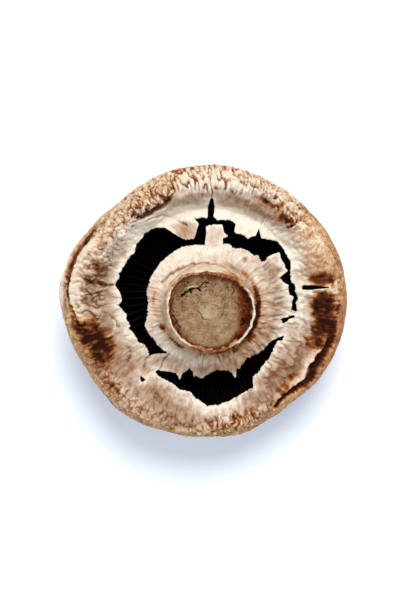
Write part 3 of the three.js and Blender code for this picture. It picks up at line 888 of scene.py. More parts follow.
# %% The stem's flesh
def build_stem():
    angle = ring_angles(sum(ZONE_RINGS), STEM_SEGMENTS)
    radius, height, rim_in, wall = stem_rings(angle[0])
    zones = np.repeat(range(5), ZONE_RINGS)[:, None] + 0 * angle
    on_disc, on_wall, on_rim = (zones == zone for zone in (ON_DISC, ON_WALL, ON_RIM))
    inside_rim = on_disc | on_wall
    base = round_points(angle, radius, height)
    x, y, from_axis = base[..., 0], base[..., 1], radius
    rough = flat_noise(base, seed=41, size=2.0)
    fine = flat_noise(base, seed=42, size=0.9)
    sway = np.stack([flat_noise(base, seed=44 + k, size=1.2) for k in (0, 1)], axis=-1) * 0.45
    crack, sunk = pith_cracks(base[..., :2] + sway)
    curled, _ = from_lines(base[..., :2] + sway, lines_of(CURLED_EDGE))
    curled = on_disc * (1 - smooth_step(0.1, 0.5, curled))

    above_foot = np.clip((height - RIM_FOOT) / RIM_CURL, 0, 1)
    height = height + on_rim * np.sin(np.pi * above_foot / 2) * 0.6 * rough
    height = height + on_disc * (0.3 * flat_noise(base, seed=43, size=4) + 0.1 * fine)
    radius = radius + ~on_disc * (0.3 * rough + 0.12 * fine) * smooth_step(14, 20, height)
    radius += (1 - smooth_step(13, 18, height)) * 0.35 * rough
    radius += (zones <= CUT_EDGE) * 0.22 * round_noise(angle, height, 47, across=3.5, along=12)
    height = height - inside_rim * sunk + 0.5 * curled
    points, faces = closed_skin(round_points(angle, radius, height))

    down_wall = (rim_in - from_axis + 0.5 * rough) / wall
    red = smooth_step(-0.1, 0.3, down_wall) * (1 - smooth_step(0.9, 2.1, down_wall))
    centre = 1 - smooth_step(0.08, 0.3, np.hypot(x + 0.3, y + 0.2) / 14)
    around = smooth_step(0.5, 1.0, from_axis / rim_in) * smooth_step(-6, 10, y)
    pith_tone = 0.4 - 0.24 * centre + 0.2 * around + 0.12 * rough
    wall_tone = eased_by_angle(angle, WALL_BROWN, over=6) + 0.25 * rough + 0.2 * fine
    wall_tone += 0.12 - 0.3 * np.clip(down_wall, 0, 1)
    cut_tone = pith_tone + red * (wall_tone - pith_tone) - 0.3 * curled
    near_cut = smooth_step(15, 22.5, height)
    side_tone = 0.24 + near_cut * (eased_by_angle(angle, OUTER_BROWN, over=6) - 0.24) + 0.15 * rough
    rim_tone = eased_by_angle(angle, RIM_BROWN, over=6) + 0.2 * fine
    browning = np.select([on_rim, inside_rim], [rim_tone, cut_tone], side_tone)

    def and_ends(values):
        return np.append(values, [0.4, values[-1].mean()])

    looks = {
        "browning": and_ends(browning),
        "pith": and_ends(inside_rim * (1 - red * smooth_step(0.5, 0.9, wall_tone))),
        "crack": and_ends(crack * inside_rim),
        "speckled": and_ends(on_disc * smooth_step(-4, 9, y + 0.4 * np.abs(x))),
        "fibre": np.vstack([round_points(angle, 14, radius + base[..., 2]).reshape(-1, 3), np.zeros((2, 3))]),
    }
    return make_piece("cut_stem", points, faces, looks)


cut_stem = build_stem()

# %% [markdown]
# ## The torn veil
#
# One thin sheet runs from the stem out and over the margin's crest. The outlines of the tears are drawn as
# a list of corners, and the sheet's own fibres make them ragged: before a point is tested against an
# outline, it is moved in or out by a noise that is long along the radius. Cells inside an outline are left
# out, and the points on the tear's edge are set on the outline itself, so that it has no steps.

# %% The tears
MAIN_TEAR = [
    (-13, -16.6), (-16, -16.5), (-18.9, -17), (-20, -17.8), (-20, -15.9), (-21.4, -13.5), (-23.4, -12.6),
    (-24, -11), (-25.6, -8.9), (-26.8, -8), (-26.2, -6.7), (-27.8, -4), (-27.5, -3), (-30.3, 0.5),
    (-29, 1.8), (-29.3, 4.4), (-31.5, 7.6), (-29.9, 10), (-29.7, 11.6), (-27.9, 14.3), (-26, 17.7),
    (-24.5, 18.3), (-24, 21), (-22.6, 22.7), (-20.5, 25.2), (-18.5, 26.4), (-15.4, 26.8), (-13.6, 26.5),
    (-9.7, 24), (-7.5, 22.8), (-4.2, 23.2), (-3.2, 26.3), (-2.5, 28.5), (-4.6, 30), (0.4, 30.1), (0.6, 34),
    (1.1, 37.1), (2, 36.8), (2.8, 34.1), (2.8, 32), (2.3, 30.7), (3.6, 29.4), (8.6, 29.1), (10.1, 27.7),
    (9.5, 25), (12.6, 24.1), (14.2, 22.8), (17, 23.8), (18.3, 26.6), (18.6, 24), (19, 23), (22, 22.4),
    (24.6, 21.8), (26.7, 19.3), (28.3, 16.4), (29.4, 14), (28.9, 11.9), (29.3, 8.8), (29.6, 7.3),
    (30.8, 6.7), (30.9, 4.3), (31.8, 2.1), (31.2, 0), (31.9, -2.9), (29.7, -2), (29.9, 1.5), (30.2, 2.6),
    (28.7, 3.4), (28.5, 6.7), (27.1, 7.3), (25.2, 9.4), (28.1, 11.4), (27, 13.5), (25.9, 16.1),
    (25.1, 18.2), (22.7, 17.3), (20.9, 16.5), (20.4, 15.3), (18.8, 15), (17.9, 17), (15.9, 17.4),
    (14.3, 18.8), (11.6, 19.7), (9.5, 19.8), (7.2, 21.4), (5.5, 21.3), (5.4, 23.3), (7.9, 23.7), (6.1, 25),
    (5.3, 27.8), (2.6, 27.9), (-0.2, 27.2), (-0.1, 25.3), (-0.7, 21.1), (-3.9, 21.1), (-8.1, 20.6),
    (-10.8, 19.1), (-14.2, 16.6), (-15.6, 15.4), (-18.9, 10.6), (-20.6, 5.3), (-20.1, 1.4), (-20.4, -3.1),
    (-21.3, -6.7), (-20.4, -8.4), (-19.3, -10.7), (-18.2, -11), (-17.1, -13.6), (-14.4, -15.5),
]
LOWER_TEAR = [
    (-18, -23.5), (-17.2, -22.5), (-13.7, -22.7), (-10.6, -23.7), (-9.2, -26), (-8.5, -24), (-5.8, -21.8),
    (-4.7, -23.2), (-4.3, -25.2), (-3.6, -24.4), (-1.9, -25.8), (0.9, -24.2), (4, -22.7), (7.5, -23),
    (8.9, -23.8), (10.2, -26.3), (10.6, -22.7), (12.7, -20.9), (14.1, -18.8), (18.3, -17), (20.2, -15.8),
    (20.7, -14.4), (23.2, -12.5), (26.3, -11.3), (27.3, -11.1), (26.7, -12.6), (24.8, -13.2), (23.3, -16.1),
    (21.9, -18.9), (19.4, -22), (17.9, -24.3), (16.3, -25.4), (16.2, -29), (14.3, -30.1), (10.6, -32.4),
    (4.2, -35), (0.1, -35.2), (-1.8, -33.6), (-4, -32.4), (-5.7, -30.2), (-9.2, -29.4), (-11.8, -27.4),
    (-15.1, -25.4),
]
SHORT_TEAR = [
    (25.6, -5.4), (26.7, -5), (28.4, -4.5), (30.1, -4), (31.1, -3.6), (30.8, -4.7), (28.8, -5.3),
    (27.5, -6.6), (26, -7.3), (26.8, -6.1),
]
SIDE_SLIT = [
    (33, 5.9), (33.4, 6.6), (36.9, 6.8), (41.8, 6.5), (42.9, 6.2), (40.4, 5.9), (37.9, 5.5), (36, 5.0),
    (33.5, 5.0),
]
PINHOLE = [(-23.1, -24.7), (-22.4, -24.4), (-21.4, -25.0), (-21.2, -26.1), (-22.5, -26.2)]
TEARS = [MAIN_TEAR, LOWER_TEAR, SHORT_TEAR, SIDE_SLIT, PINHOLE]
print(len(TEARS), "tears, with", sum(len(tear) for tear in TEARS), "corners")

# %% How far it is to a tear
def within(points, outline):
    """Whether each (x, y) point is inside a closed outline."""
    x, y = points[..., 0], points[..., 1]
    odd = np.zeros(x.shape, bool)
    for (x0, y0), (x1, y1) in zip(outline, outline[1:] + outline[:1]):
        if y0 != y1:
            odd ^= ((y0 > y) != (y1 > y)) & (x < (x1 - x0) * (y - y0) / (y1 - y0) + x0)
    return odd


def ragged(points):
    """Moves (x, y) points in or out by the tissue's fibres, and gives the moves too."""
    angle, radius = plan(points)
    pull = 0.3 * round_noise(angle, radius, 51, across=0.9, along=12)
    pull += 0.22 * round_noise(angle, radius, 52, across=0.5, along=5)
    away = np.stack([np.cos(angle), np.sin(angle)], axis=-1) * pull[..., None]
    return points + away, away


def tear_distance(points):
    """Distance of each point from the nearest tear, less than 0 inside one, and the nearest point on it."""
    moved, away = ragged(points)
    lines = [line for tear in TEARS for line in lines_of(tear + tear[:1])]
    distance, nearest = from_lines(moved, lines)
    torn = np.zeros(distance.shape, bool)
    for tear in TEARS:
        torn |= within(moved, tear)
    return np.where(torn, -distance, distance), nearest - away


print("from the stem's axis to the nearest tear, mm:", tear_distance(np.zeros((1, 1, 2)))[0].round(1))

# %% [markdown]
# The sheet sags between the stem and the margin, and more so on the side of the crest that stands highest,
# where its inner wall is steep. Its relief is rumples along the radius, broad lumps, and the texture of the
# margin. Near a tear it thins out, and its lip turns up a little and stays cream.

# %% The sheet's shape
SAG = curve_through([
    (14.6, 14.6), (16, 12.8), (19, 11.2), (23, 9.9), (27, 9.3), (31, 9.6), (35, 10.9), (38, 12.6),
    (40.2, 13.9),
], 200)
DEEP_SAG = curve_through([
    (14.6, 15), (16, 13.4), (19, 11.8), (23, 10.4), (27, 8.8), (31, 7.9), (33.6, 7.8), (34.8, 9.0),
    (38.6, 13), (40.2, 13.9),
], 200)
# Swellings and hollows of the sheet, in the form of the stains. Their strength is in mm.
SWELLINGS = [
    ((84, 27), (9, 5), 1.1, 0.6), ((33, 27.5), (8, 4.5), 0.9, 0.6), ((118, 42.2), (14, 3.4), 1.3, 0.6),
    ((60, 40.2), (9, 2.2), -1.3, 0.6), ((75.5, 42), (4, 1.9), 0.8, 0.6), ((50, 41), (6, 3), 0.6, 0.6),
]
# So many rings that the sheet stays under 200,000 triangles.
VEIL_SEGMENTS, VEIL_RINGS = 780, 72
VEIL_START = 14.7
SHEET_THICKNESS, TORN_THICKNESS = 1.4, 0.45


def veil_height(angle, radius):
    """Height of the smooth sheet over a perfectly round cap."""
    deep = spot(angle, np.zeros_like(angle), (84, 0), (54, 1), edge=0.5)
    sag = np.interp(radius, SAG[:, 0], SAG[:, 1])
    deep_sag = np.interp(radius, DEEP_SAG[:, 0], DEEP_SAG[:, 1])
    dish = sag + deep * (deep_sag - sag)
    margin = np.interp(radius, over_margin[:, 0], over_margin[:, 1])
    return dish + smooth_step(39.2, 42, radius) * (margin - dish)


def ribs_and_rumples(points, angle, radius):
    """The sheet's fine ribs, its rumples, and how deep in a crease between rumples each point is."""
    sway = flat_noise(points, seed=54, size=3)
    ribs = round_noise(angle + 0.025 * sway, radius + sway, 55, across=1.3, along=5)
    ribs += 0.5 * round_noise(angle - 0.015 * sway, radius, 56, across=0.75, along=3)
    rumple = round_noise(angle + 0.03 * sway, radius, 58, across=3.4, along=5)
    rumple, crease = swollen(rumple + 0.6 * flat_noise(points, seed=60, size=1.9), 0.25, soft=0.15)
    return ribs, rumple, crease


def left_by_tears(to_tear):
    """Which cells of the sheet are left, and which of its points lie between these and the torn ones."""
    kept = to_tear[:-1] + to_tear[1:]
    kept = whole_cells(kept + np.roll(kept, -1, axis=1) > 0)
    cells = np.pad(kept, ((1, 1), (0, 0)))
    beside = [side for rows in (cells[:-1], cells[1:]) for side in (rows, np.roll(rows, 1, axis=1))]
    between = np.any(beside, axis=0) & ~np.all(beside, axis=0)
    between[0] = between[-1] = False
    return kept, between


lowest_sag, lowest_deep = (sag[:, 1].min().round(1) for sag in (SAG, DEEP_SAG))
print("the sheet sags to a height of", lowest_sag, "mm, and to", lowest_deep, "mm on its deep side")

# %% The sheet between stem and margin
def build_veil():
    grown = ring_angles(VEIL_RINGS, VEIL_SEGMENTS)
    one_ring = np.full(grown.shape, 40.0)
    share = np.interp(np.linspace(0, 1, VEIL_RINGS), [0, 0.45, 1], [0, 0.585, 1])[:, None]
    wider = 1 + further_out(grown) / CAP_RADIUS
    uneven = 0.3 * round_noise(grown, one_ring, 53, across=1.5, along=9)
    uneven *= 1 + 2 * by_angle(grown, EDGE_LIFT)
    edge = (by_angle(grown, TISSUE_EDGE) + uneven) / wider
    radius = VEIL_START + share * (edge - VEIL_START)
    height = veil_height(grown, radius)
    smooth = with_the_cap(grown, radius, height)
    slope = np.gradient(height, axis=0) / np.gradient(radius, axis=0)
    lean_out = smooth_step(41, 43.5, radius) * -slope / np.hypot(1, slope)
    wrapped = np.interp(radius, over_margin[:, 0], over_margin[:, 2])
    angle, true_radius = plan(smooth)
    place = np.where(radius > over_margin[0, 0], wrapped, radius) * true_radius / radius
    to_tear, nearest = tear_distance(smooth[..., :2])
    to_edge = true_radius - edge * wider

    reach = true_radius + 1.1 * round_noise(angle, one_ring, 59, across=1.6, along=9)
    start = by_angle(angle, FOLD_START)
    folded = smooth_step(start - 1.2, start + 0.8, reach)
    texture, gap = torn_texture(angle, place, smooth)
    ribs, rumple, crease = ribs_and_rumples(smooth, angle, true_radius)
    lip = np.exp(-np.maximum(to_tear, 0) / 1.8)
    lift = by_angle(angle, EDGE_LIFT)
    mark_depth, mark_brown = marking(smooth[..., :2])
    near_groove = by_angle(angle, EDGE_PALE) / 0.28 * smooth_step(-2.4, -0.4, to_edge)
    relief = folded * by_angle(angle, FOLD_HEIGHT) * texture * (1 - 0.6 * near_groove)
    relief += (1 - folded) * by_angle(angle, RUMPLED) * (1.4 * (rumple - 0.6) + 0.3 * ribs)
    relief += 0.45 * flat_noise(smooth, seed=57, size=5)
    relief *= smooth_step(VEIL_START, VEIL_START + 2.5, true_radius)
    relief += 0.3 * lip * (1 - folded) + lift * smooth_step(-2.6, -0.2, to_edge) - mark_depth
    relief += sum(patches(angle, true_radius, SWELLINGS))

    top = smooth + round_points(angle, relief * lean_out, relief * np.sqrt(1 - lean_out**2))
    kept, between = left_by_tears(to_tear)
    snapped = between & (np.linalg.norm(nearest - smooth[..., :2], axis=-1) < 0.5)
    top[snapped, :2] = nearest[snapped]
    thick = TORN_THICKNESS + (SHEET_THICKNESS - TORN_THICKNESS) * smooth_step(0, 2.5, to_tear)
    flush = 1 - smooth_step(0.05, 0.35, np.abs(lift))
    thick *= 1 - smooth_step(-3.5, 0, to_edge) * (0.35 + 0.55 * flush)
    points, faces, used = torn_sheet(top, top - round_points(angle, 0, thick), kept)

    browning = ageing(angle, place) + sum(patches(angle, true_radius, STAINS_AND_PAINTED_LIGHT)) + mark_brown
    # Creases of the folds and of the rumples browner, and their lumps paler: partly the flesh's own colour,
    # partly painted shade and highlight.
    browning += folded * by_angle(angle, FOLD_CREASE_BROWN_AND_SHADE) * (gap - 0.3)
    browning += (1 - folded) * by_angle(angle, RUMPLED) * (0.12 * (crease - 0.3) - 0.06 * ribs)
    browning -= lip * (0.4 + 0.12 * ribs) * smooth_step(24, 29, true_radius) + 0.08 * lip
    browning -= by_angle(angle, EDGE_PALE) * smooth_step(-2.4, -0.8, to_edge)

    def both(values):
        return np.tile(values.ravel(), 2)[used]

    looks = {
        "browning": both(browning),
        "bruise_and_shade": both(bruising_and_shade(angle, true_radius)),
        "scaly": both(np.maximum(folded * by_angle(angle, FOLD_FRINGE), 0.15)),
        "tanned": both(np.maximum(tanning(angle, place), 0.7 * spot(angle, true_radius, (-45, 17), (60, 6)))),
        "fibre": np.tile(fibre_coordinates(angle, place).reshape(-1, 3), (2, 1))[used],
    }
    return make_piece("torn_veil_tissue", points, faces, looks)


torn_veil_tissue = build_veil()

# %% [markdown]
# ## The gills
#
# Gills are some hundreds of thin blades that hang from the cap's flesh and all point at the stem. Between
# two that run the whole way there are shorter ones, which start at the margin and stop early. A rule like
# that is what Geometry Nodes are for: points round a circle, one blade on each, and a length by its number.
# The tree makes straight blades of height 1, and afterwards each is bent to the flesh above it and waved a
# little.

# %% A short way to add nodes
def fill(tree, socket, value):
    """Gives a socket a value, or links another node's output to it."""
    if isinstance(value, bpy.types.NodeSocket):
        tree.links.new(value, socket)
    else:
        socket.default_value = value


def add_node(tree, kind, inputs=(), **settings):
    """A new node, with its inputs as (socket, value or output) and its settings."""
    node = tree.nodes.new(kind)
    for key, value in settings.items():
        setattr(node, key, value)
    for socket, value in inputs:
        fill(tree, node.inputs[socket], value)
    return node


def add_math(tree, operation, *values):
    return add_node(tree, "ShaderNodeMath", list(enumerate(values)), operation=operation).outputs[0]


# %% The gills' tree
GILL_BLADES = 248
# The sizes in mm of a straight blade, before it is bent.
GILL_SIZES = [("Rim Radius", 41.0), ("Blade Length", 22.6), ("Blade Thickness", 0.34)]
# The lengths of four blades in turn, as shares of the full one.
GILL_REACH = [1.0, 0.3, 0.62, 0.3]
# The blades' free edge: (radius, height) in mm. Their roots sit this deep in the cap's flesh.
GILL_EDGE = [(18.4, -8.6), (24, -7.6), (32, -3.4), (38, 2.2), (41, 6.2)]
ROOT_DEPTH = 0.4


def gill_tree(material):
    """Geometry Nodes: blades on a circle, each fourth one full length."""
    tree = bpy.data.node_groups.new("gills_round_the_stem", "GeometryNodeTree")
    whole = [("Blades", GILL_BLADES), ("Seed", 7)]
    for kind, inputs in [("NodeSocketInt", whole), ("NodeSocketFloat", GILL_SIZES)]:
        for name, value in inputs:
            tree.interface.new_socket(name, in_out="INPUT", socket_type=kind).default_value = value
    tree.interface.new_socket("Geometry", in_out="OUTPUT", socket_type="NodeSocketGeometry")
    add, calculate = partial(add_node, tree), partial(add_math, tree)
    sizes = add("NodeGroupInput").outputs
    number = add("GeometryNodeInputIndex").outputs[0]
    turn = calculate("MULTIPLY", calculate("DIVIDE", number, sizes["Blades"]), 2 * np.pi)
    uneven = add("FunctionNodeRandomValue", [("Min", -0.006), ("Max", 0.006), ("Seed", sizes["Seed"])])
    turn = calculate("ADD", turn, uneven.outputs["Value"])
    place = add("ShaderNodeCombineXYZ", [
        ("X", calculate("MULTIPLY", calculate("COSINE", turn), sizes["Rim Radius"])),
        ("Y", calculate("MULTIPLY", calculate("SINE", turn), sizes["Rim Radius"])),
    ])
    points = add("GeometryNodePoints", [("Count", sizes["Blades"]), ("Position", place.outputs[0])])
    spin = add("ShaderNodeCombineXYZ", [("Z", turn)])
    step = add("GeometryNodeIndexSwitch", [("Index", calculate("MODULO", number, 4))], data_type="FLOAT")
    step.index_switch_items.new()
    step.index_switch_items.new()
    for item, reach in enumerate(GILL_REACH):
        step.inputs[item + 1].default_value = reach
    size = add("ShaderNodeCombineXYZ", [("X", step.outputs[0]), ("Y", 1), ("Z", 1)])
    block = add("ShaderNodeCombineXYZ", [
        ("X", sizes["Blade Length"]), ("Y", sizes["Blade Thickness"]), ("Z", 1),
    ])
    blade = add("GeometryNodeMeshCube", [("Size", block.outputs[0]), ("Vertices X", 10), ("Vertices Z", 3)])
    half_in = calculate("MULTIPLY", sizes["Blade Length"], -0.5)
    shift = add("ShaderNodeCombineXYZ", [("X", half_in), ("Z", 0.5)]).outputs[0]
    hung = add("GeometryNodeTransform", [("Geometry", blade.outputs["Mesh"]), ("Translation", shift)])
    ring = add("GeometryNodeInstanceOnPoints", [
        ("Points", points.outputs[0]), ("Instance", hung.outputs[0]), ("Rotation", spin.outputs[0]),
        ("Scale", size.outputs[0]),
    ])
    real = add("GeometryNodeRealizeInstances", [("Geometry", ring.outputs[0])])
    finish = add("GeometryNodeSetMaterial", [("Geometry", real.outputs[0]), ("Material", material)])
    tree.links.new(finish.outputs[0], add("NodeGroupOutput").inputs[0])
    return tree


# %% From straight blades to gills
def build_gills(material):
    carrier = add_object("gill_carrier", bpy.data.meshes.new("gill_carrier"))
    modifier = carrier.modifiers.new("gills", "NODES")
    modifier.node_group = gill_tree(material)
    sockets = modifier.node_group.interface.items_tree
    blades = next(item.identifier for item in sockets if item.name == "Blades")
    modifier[blades] = GILL_BLADES
    evaluated = carrier.evaluated_get(bpy.context.evaluated_depsgraph_get())
    mesh = bpy.data.meshes.new_from_object(evaluated)
    carrier.modifiers.remove(modifier)
    bpy.data.objects.remove(carrier)
    points = np.zeros(len(mesh.vertices) * 3)
    mesh.vertices.foreach_get("co", points)
    points = points.reshape(-1, 3)
    angle, radius = plan(points)
    share = points[:, 2]
    angle = angle + share * 0.35 * flat_noise(points, seed=61, size=5) / np.maximum(radius, 18)
    roof = np.array(sorted(CEILING))
    edge = np.array(GILL_EDGE)
    top = np.interp(radius, roof[:, 0], roof[:, 1]) - ROOT_DEPTH
    height = top + share * (np.interp(radius, edge[:, 0], edge[:, 1]) - top)
    bent = to_row(with_the_cap(angle, radius, height))
    mesh.vertices.foreach_set("co", bent.ravel())
    mesh.update()
    print(f"gill_blades: {len(mesh.vertices)} points, {len(mesh.polygons)} faces")
    return add_object("gill_blades", mesh)


# %% [markdown]
# ## The finishes
#
# Cut and torn mushroom flesh is cream at first, and browns where it dries: first pinkish tan, then orange
# brown, and nearly black where it is bruised. The dark end of that run also carries painted shade: in the
# groove, the crack on the left, the folds' creases and the join round the stem's foot. One colour ramp holds
# that whole run, and every point of the cap and of the veil carries its place on it, so the two meet without
# a seam. Noise that is long along the radius breaks it up into fibres. The small grain goes into the bump,
# and the large forms are already in the mesh.

# %% A short way to write materials
class Finish:
    """One material's nodes, with a few short names for those used here."""

    def __init__(self, name):
        self.material = bpy.data.materials.new(name)
        self.material.use_nodes = True
        self.tree = self.material.node_tree
        self.shader = self.tree.nodes["Principled BSDF"]

    def add(self, kind, inputs=(), **settings):
        return add_node(self.tree, kind, inputs, **settings)

    def put(self, name, value):
        fill(self.tree, self.shader.inputs[name], value)

    def look(self, name):
        return self.add("ShaderNodeAttribute", attribute_name=name).outputs["Fac"]

    def calculate(self, operation, *values):
        return add_math(self.tree, operation, *values)

    def centred(self, noise):
        """Noise from 0 to 1, moved to run from -0.5 to 0.5."""
        return self.calculate("SUBTRACT", noise, 0.5)

    def plus(self, base, value, much):
        """The base, with so much of the value added to it."""
        return self.calculate("MULTIPLY_ADD", value, much, base)

    def step(self, low, high, value):
        inputs = [("Value", value), ("From Min", low), ("From Max", high)]
        return self.add("ShaderNodeMapRange", inputs, interpolation_type="SMOOTHSTEP").outputs["Result"]

    def fibre_noise(self, across, along, detail=3, distortion=0):
        """Noise on the piece's own fibre coordinates, in bumps of so many mm."""
        grain = self.add("ShaderNodeAttribute", attribute_name="fibre").outputs["Vector"]
        inputs = [(0, grain), (1, (1 / across, 1 / across, 1 / along))]
        scaled = self.add("ShaderNodeVectorMath", inputs, operation="MULTIPLY").outputs[0]
        inputs = [("Vector", scaled), ("Scale", 1), ("Detail", detail), ("Distortion", distortion)]
        return self.add("ShaderNodeTexNoise", inputs).outputs[0]

    def grain_noise(self, size, detail=2):
        """Noise on Object coordinates, in bumps of so many mm."""
        place = self.add("ShaderNodeTexCoord").outputs["Object"]
        inputs = [("Vector", place), ("Scale", 1 / (size * MM)), ("Detail", detail)]
        return self.add("ShaderNodeTexNoise", inputs).outputs[0]

    def ramp(self, value, stops):
        """The colour at a value, from (value, colour) stops."""
        node = self.add("ShaderNodeValToRGB", [("Fac", value)])
        elements = node.color_ramp.elements
        elements[0].position, elements[0].color = stops[0][0], (*stops[0][1], 1)
        elements[1].position, elements[1].color = stops[-1][0], (*stops[-1][1], 1)
        for place, colour in stops[1:-1]:
            elements.new(place).color = (*colour, 1)
        return node.outputs[0]

    def mix(self, share, first, second):
        """The first colour where the share is 0, and the second where it is 1."""
        node = self.add("ShaderNodeMix", [("Factor", share)], data_type="RGBA")
        for socket, value in ((node.inputs[6], first), (node.inputs[7], second)):
            fill(self.tree, socket, (*value, 1) if isinstance(value, tuple) else value)
        return node.outputs[2]

    def bump(self, height, distance, under=None):
        """A normal from a height whose full step is so many mm, laid over the one under it."""
        inputs = [("Height", height), ("Distance", distance * MM), ("Strength", 1)]
        if under:
            inputs.append(("Normal", under))
        return self.add("ShaderNodeBump", inputs).outputs[0]

    def close(self, colour, roughness, normal, scatter=0):
        """The finished material. Where light scatters in the flesh, its red goes furthest."""
        self.put("Base Color", colour)
        self.put("Roughness", roughness)
        self.put("Normal", normal)
        self.put("Specular IOR Level", 0.05)
        if scatter:
            self.put("Subsurface Weight", scatter)
            self.put("Subsurface Radius", (1.0, 0.6, 0.35))
            self.put("Subsurface Scale", 0.7 * MM)
        return self.material


# %% The browning flesh of cap and veil
SHEET_BROWNING = [
    (0.0, (0.91, 0.84, 0.73)), (0.12, (0.79, 0.68, 0.57)), (0.22, (0.665, 0.54, 0.44)),
    (0.32, (0.545, 0.41, 0.32)), (0.42, (0.435, 0.30, 0.21)), (0.5, (0.33, 0.205, 0.13)),
    (0.6, (0.24, 0.11, 0.05)), (0.8, (0.10, 0.032, 0.012)), (1.0, (0.032, 0.010, 0.005)),
]
SKIN_BROWNING = [
    (0.0, (0.92, 0.78, 0.60)), (0.12, (0.82, 0.60, 0.41)), (0.22, (0.70, 0.44, 0.26)),
    (0.32, (0.58, 0.32, 0.16)), (0.42, (0.46, 0.22, 0.095)), (0.5, (0.34, 0.14, 0.055)),
    (0.6, (0.24, 0.08, 0.027)), (0.8, (0.10, 0.025, 0.008)), (1.0, (0.030, 0.007, 0.003)),
]


def browned(finish, *noises):
    """Browning from the mesh's own value, broken up by noises given as (noise, how much)."""
    brown = finish.look("browning")
    for noise, much in noises:
        brown = finish.plus(brown, finish.centred(noise), much)
    return brown


def flesh_finish(name):
    """The finish that cap and veil share, before it is closed: colour, roughness and normal."""
    finish = Finish(name)
    fibres = finish.fibre_noise(0.8, 4.5)
    threads = finish.fibre_noise(0.35, 2.2)
    grain = finish.grain_noise(0.45)
    blotch = finish.grain_noise(2.6, detail=4)
    hatch = finish.fibre_noise(0.85, 2.0, detail=2, distortion=0.8)
    lump = finish.calculate("ABSOLUTE", finish.centred(hatch))
    scaly = finish.look("scaly")
    tips = finish.calculate("MULTIPLY", finish.step(0.0, 0.11, lump), scaly)
    brown = browned(finish, (fibres, 0.22), (threads, 0.24), (blotch, 0.43))
    brown = finish.plus(finish.plus(brown, scaly, 0.14), tips, -0.24)
    bruise_and_shade = finish.look("bruise_and_shade")
    streaks = finish.calculate("ADD", finish.centred(fibres), finish.centred(blotch))
    streaky = finish.step(0.1, 0.95, finish.plus(bruise_and_shade, streaks, 0.75))
    brown = finish.plus(brown, streaky, 0.66)
    tanned = finish.calculate("MAXIMUM", finish.look("tanned"), finish.step(0.0, 0.3, bruise_and_shade))
    colour = finish.mix(tanned, finish.ramp(brown, SHEET_BROWNING), finish.ramp(brown, SKIN_BROWNING))
    rough = finish.plus(0.6, grain, 0.2)
    normal = finish.bump(fibres, 0.12, finish.bump(threads, 0.07, finish.bump(grain, 0.08)))
    normal = finish.bump(tips, 0.22, normal)
    return finish, colour, rough, normal


def cap_finish():
    finish, colour, rough, normal = flesh_finish("dry_brown_cap_skin")
    colour = finish.mix(finish.look("inside"), colour, (0.03, 0.016, 0.010))
    return finish.close(colour, rough, normal, scatter=0.1)


def veil_finish():
    finish, colour, rough, normal = flesh_finish("torn_veil_tissue")
    return finish.close(colour, rough, normal, scatter=0.12)


# %% The stem's pith and rind
PITH = [
    (0.0, (0.62, 0.52, 0.35)), (0.2, (0.50, 0.385, 0.235)), (0.42, (0.32, 0.205, 0.112)),
    (0.65, (0.18, 0.085, 0.035)), (1.0, (0.03, 0.012, 0.008)),
]
RIND = [
    (0.0, (0.92, 0.84, 0.70)), (0.15, (0.80, 0.66, 0.48)), (0.3, (0.62, 0.40, 0.22)),
    (0.45, (0.44, 0.20, 0.08)), (0.62, (0.25, 0.07, 0.022)), (0.8, (0.12, 0.02, 0.006)),
    (1.0, (0.035, 0.005, 0.002)),
]


def stem_finish():
    finish = Finish("cut_stem_flesh")
    fibres = finish.fibre_noise(0.8, 5)
    grain = finish.grain_noise(0.5, detail=4)
    blotch = finish.grain_noise(3.5, detail=4)
    brown = browned(finish, (fibres, 0.16), (blotch, 0.4), (grain, 0.12))
    flecks = finish.step(0.56, 0.64, finish.grain_noise(0.7, detail=5))
    flecked = finish.calculate("MULTIPLY", flecks, finish.look("speckled"))
    pith = finish.plus(finish.plus(brown, flecked, 0.4), finish.centred(grain), 0.35)
    pith = finish.ramp(pith, PITH)
    colour = finish.mix(finish.look("pith"), finish.ramp(brown, RIND), pith)
    # The cracks are painted near black: painted shade inside them.
    colour = finish.mix(finish.look("crack"), colour, (0.010, 0.005, 0.004))
    normal = finish.bump(fibres, 0.15, finish.bump(grain, 0.12))
    return finish.close(colour, 0.7, normal, scatter=0.1)


def gill_finish():
    finish = Finish("dark_gill_tissue")
    grain = finish.grain_noise(1.5)
    # The gills' own colour is dark brown. This near black is darker still, as painted shade of the hollow
    # under the veil.
    colour = finish.ramp(grain, [(0.3, (0.003, 0.002, 0.002)), (0.7, (0.007, 0.004, 0.0035))])
    return finish.close(colour, 0.9, finish.bump(grain, 0.1))


cap_flesh.data.materials.append(cap_finish())
torn_veil_tissue.data.materials.append(veil_finish())
cut_stem.data.materials.append(stem_finish())
gill_blades = build_gills(gill_finish())
for piece in (cap_flesh, torn_veil_tissue, cut_stem, gill_blades):
    print(piece.name, "is finished as", piece.data.materials[-1].name)

# %% [markdown]
# ## What each piece stands for
#
# The part has four pieces, and there is one mesh here for each: the cap with its skin, the gills, the cut
# stem and the torn veil. Each takes the place of its own solid and rides on the one body, because a
# mushroom grows in one piece and nothing on it turns or slides.

# %% Riding and replacing
for piece, node, slot in [
    (cap_flesh, "cap", "cap_skin"), (torn_veil_tissue, "torn_veil", "veil_membrane"),
    (cut_stem, "stem", "stem_flesh"), (gill_blades, "gills", "gill_tissue"),
]:
    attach(piece, "root")
    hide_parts(node)
    print(piece.name, "stands for", node)

# %% [markdown]
# ## Floor, light and camera
#
# The mushroom lies on a white table near a window. The window is one soft lamp, high up and behind, and two
# weaker ones stand for the light that the walls send back. Their level is plain: a colour comes out about
# as it is written, and the palest flesh doesn't clip. The table is white by its own colour and keeps the
# mushroom's shadow. A faint blue glow, which only the camera and mirrors see, keeps that shadow light. The
# camera looks straight down on the cut stem from 40 cm.

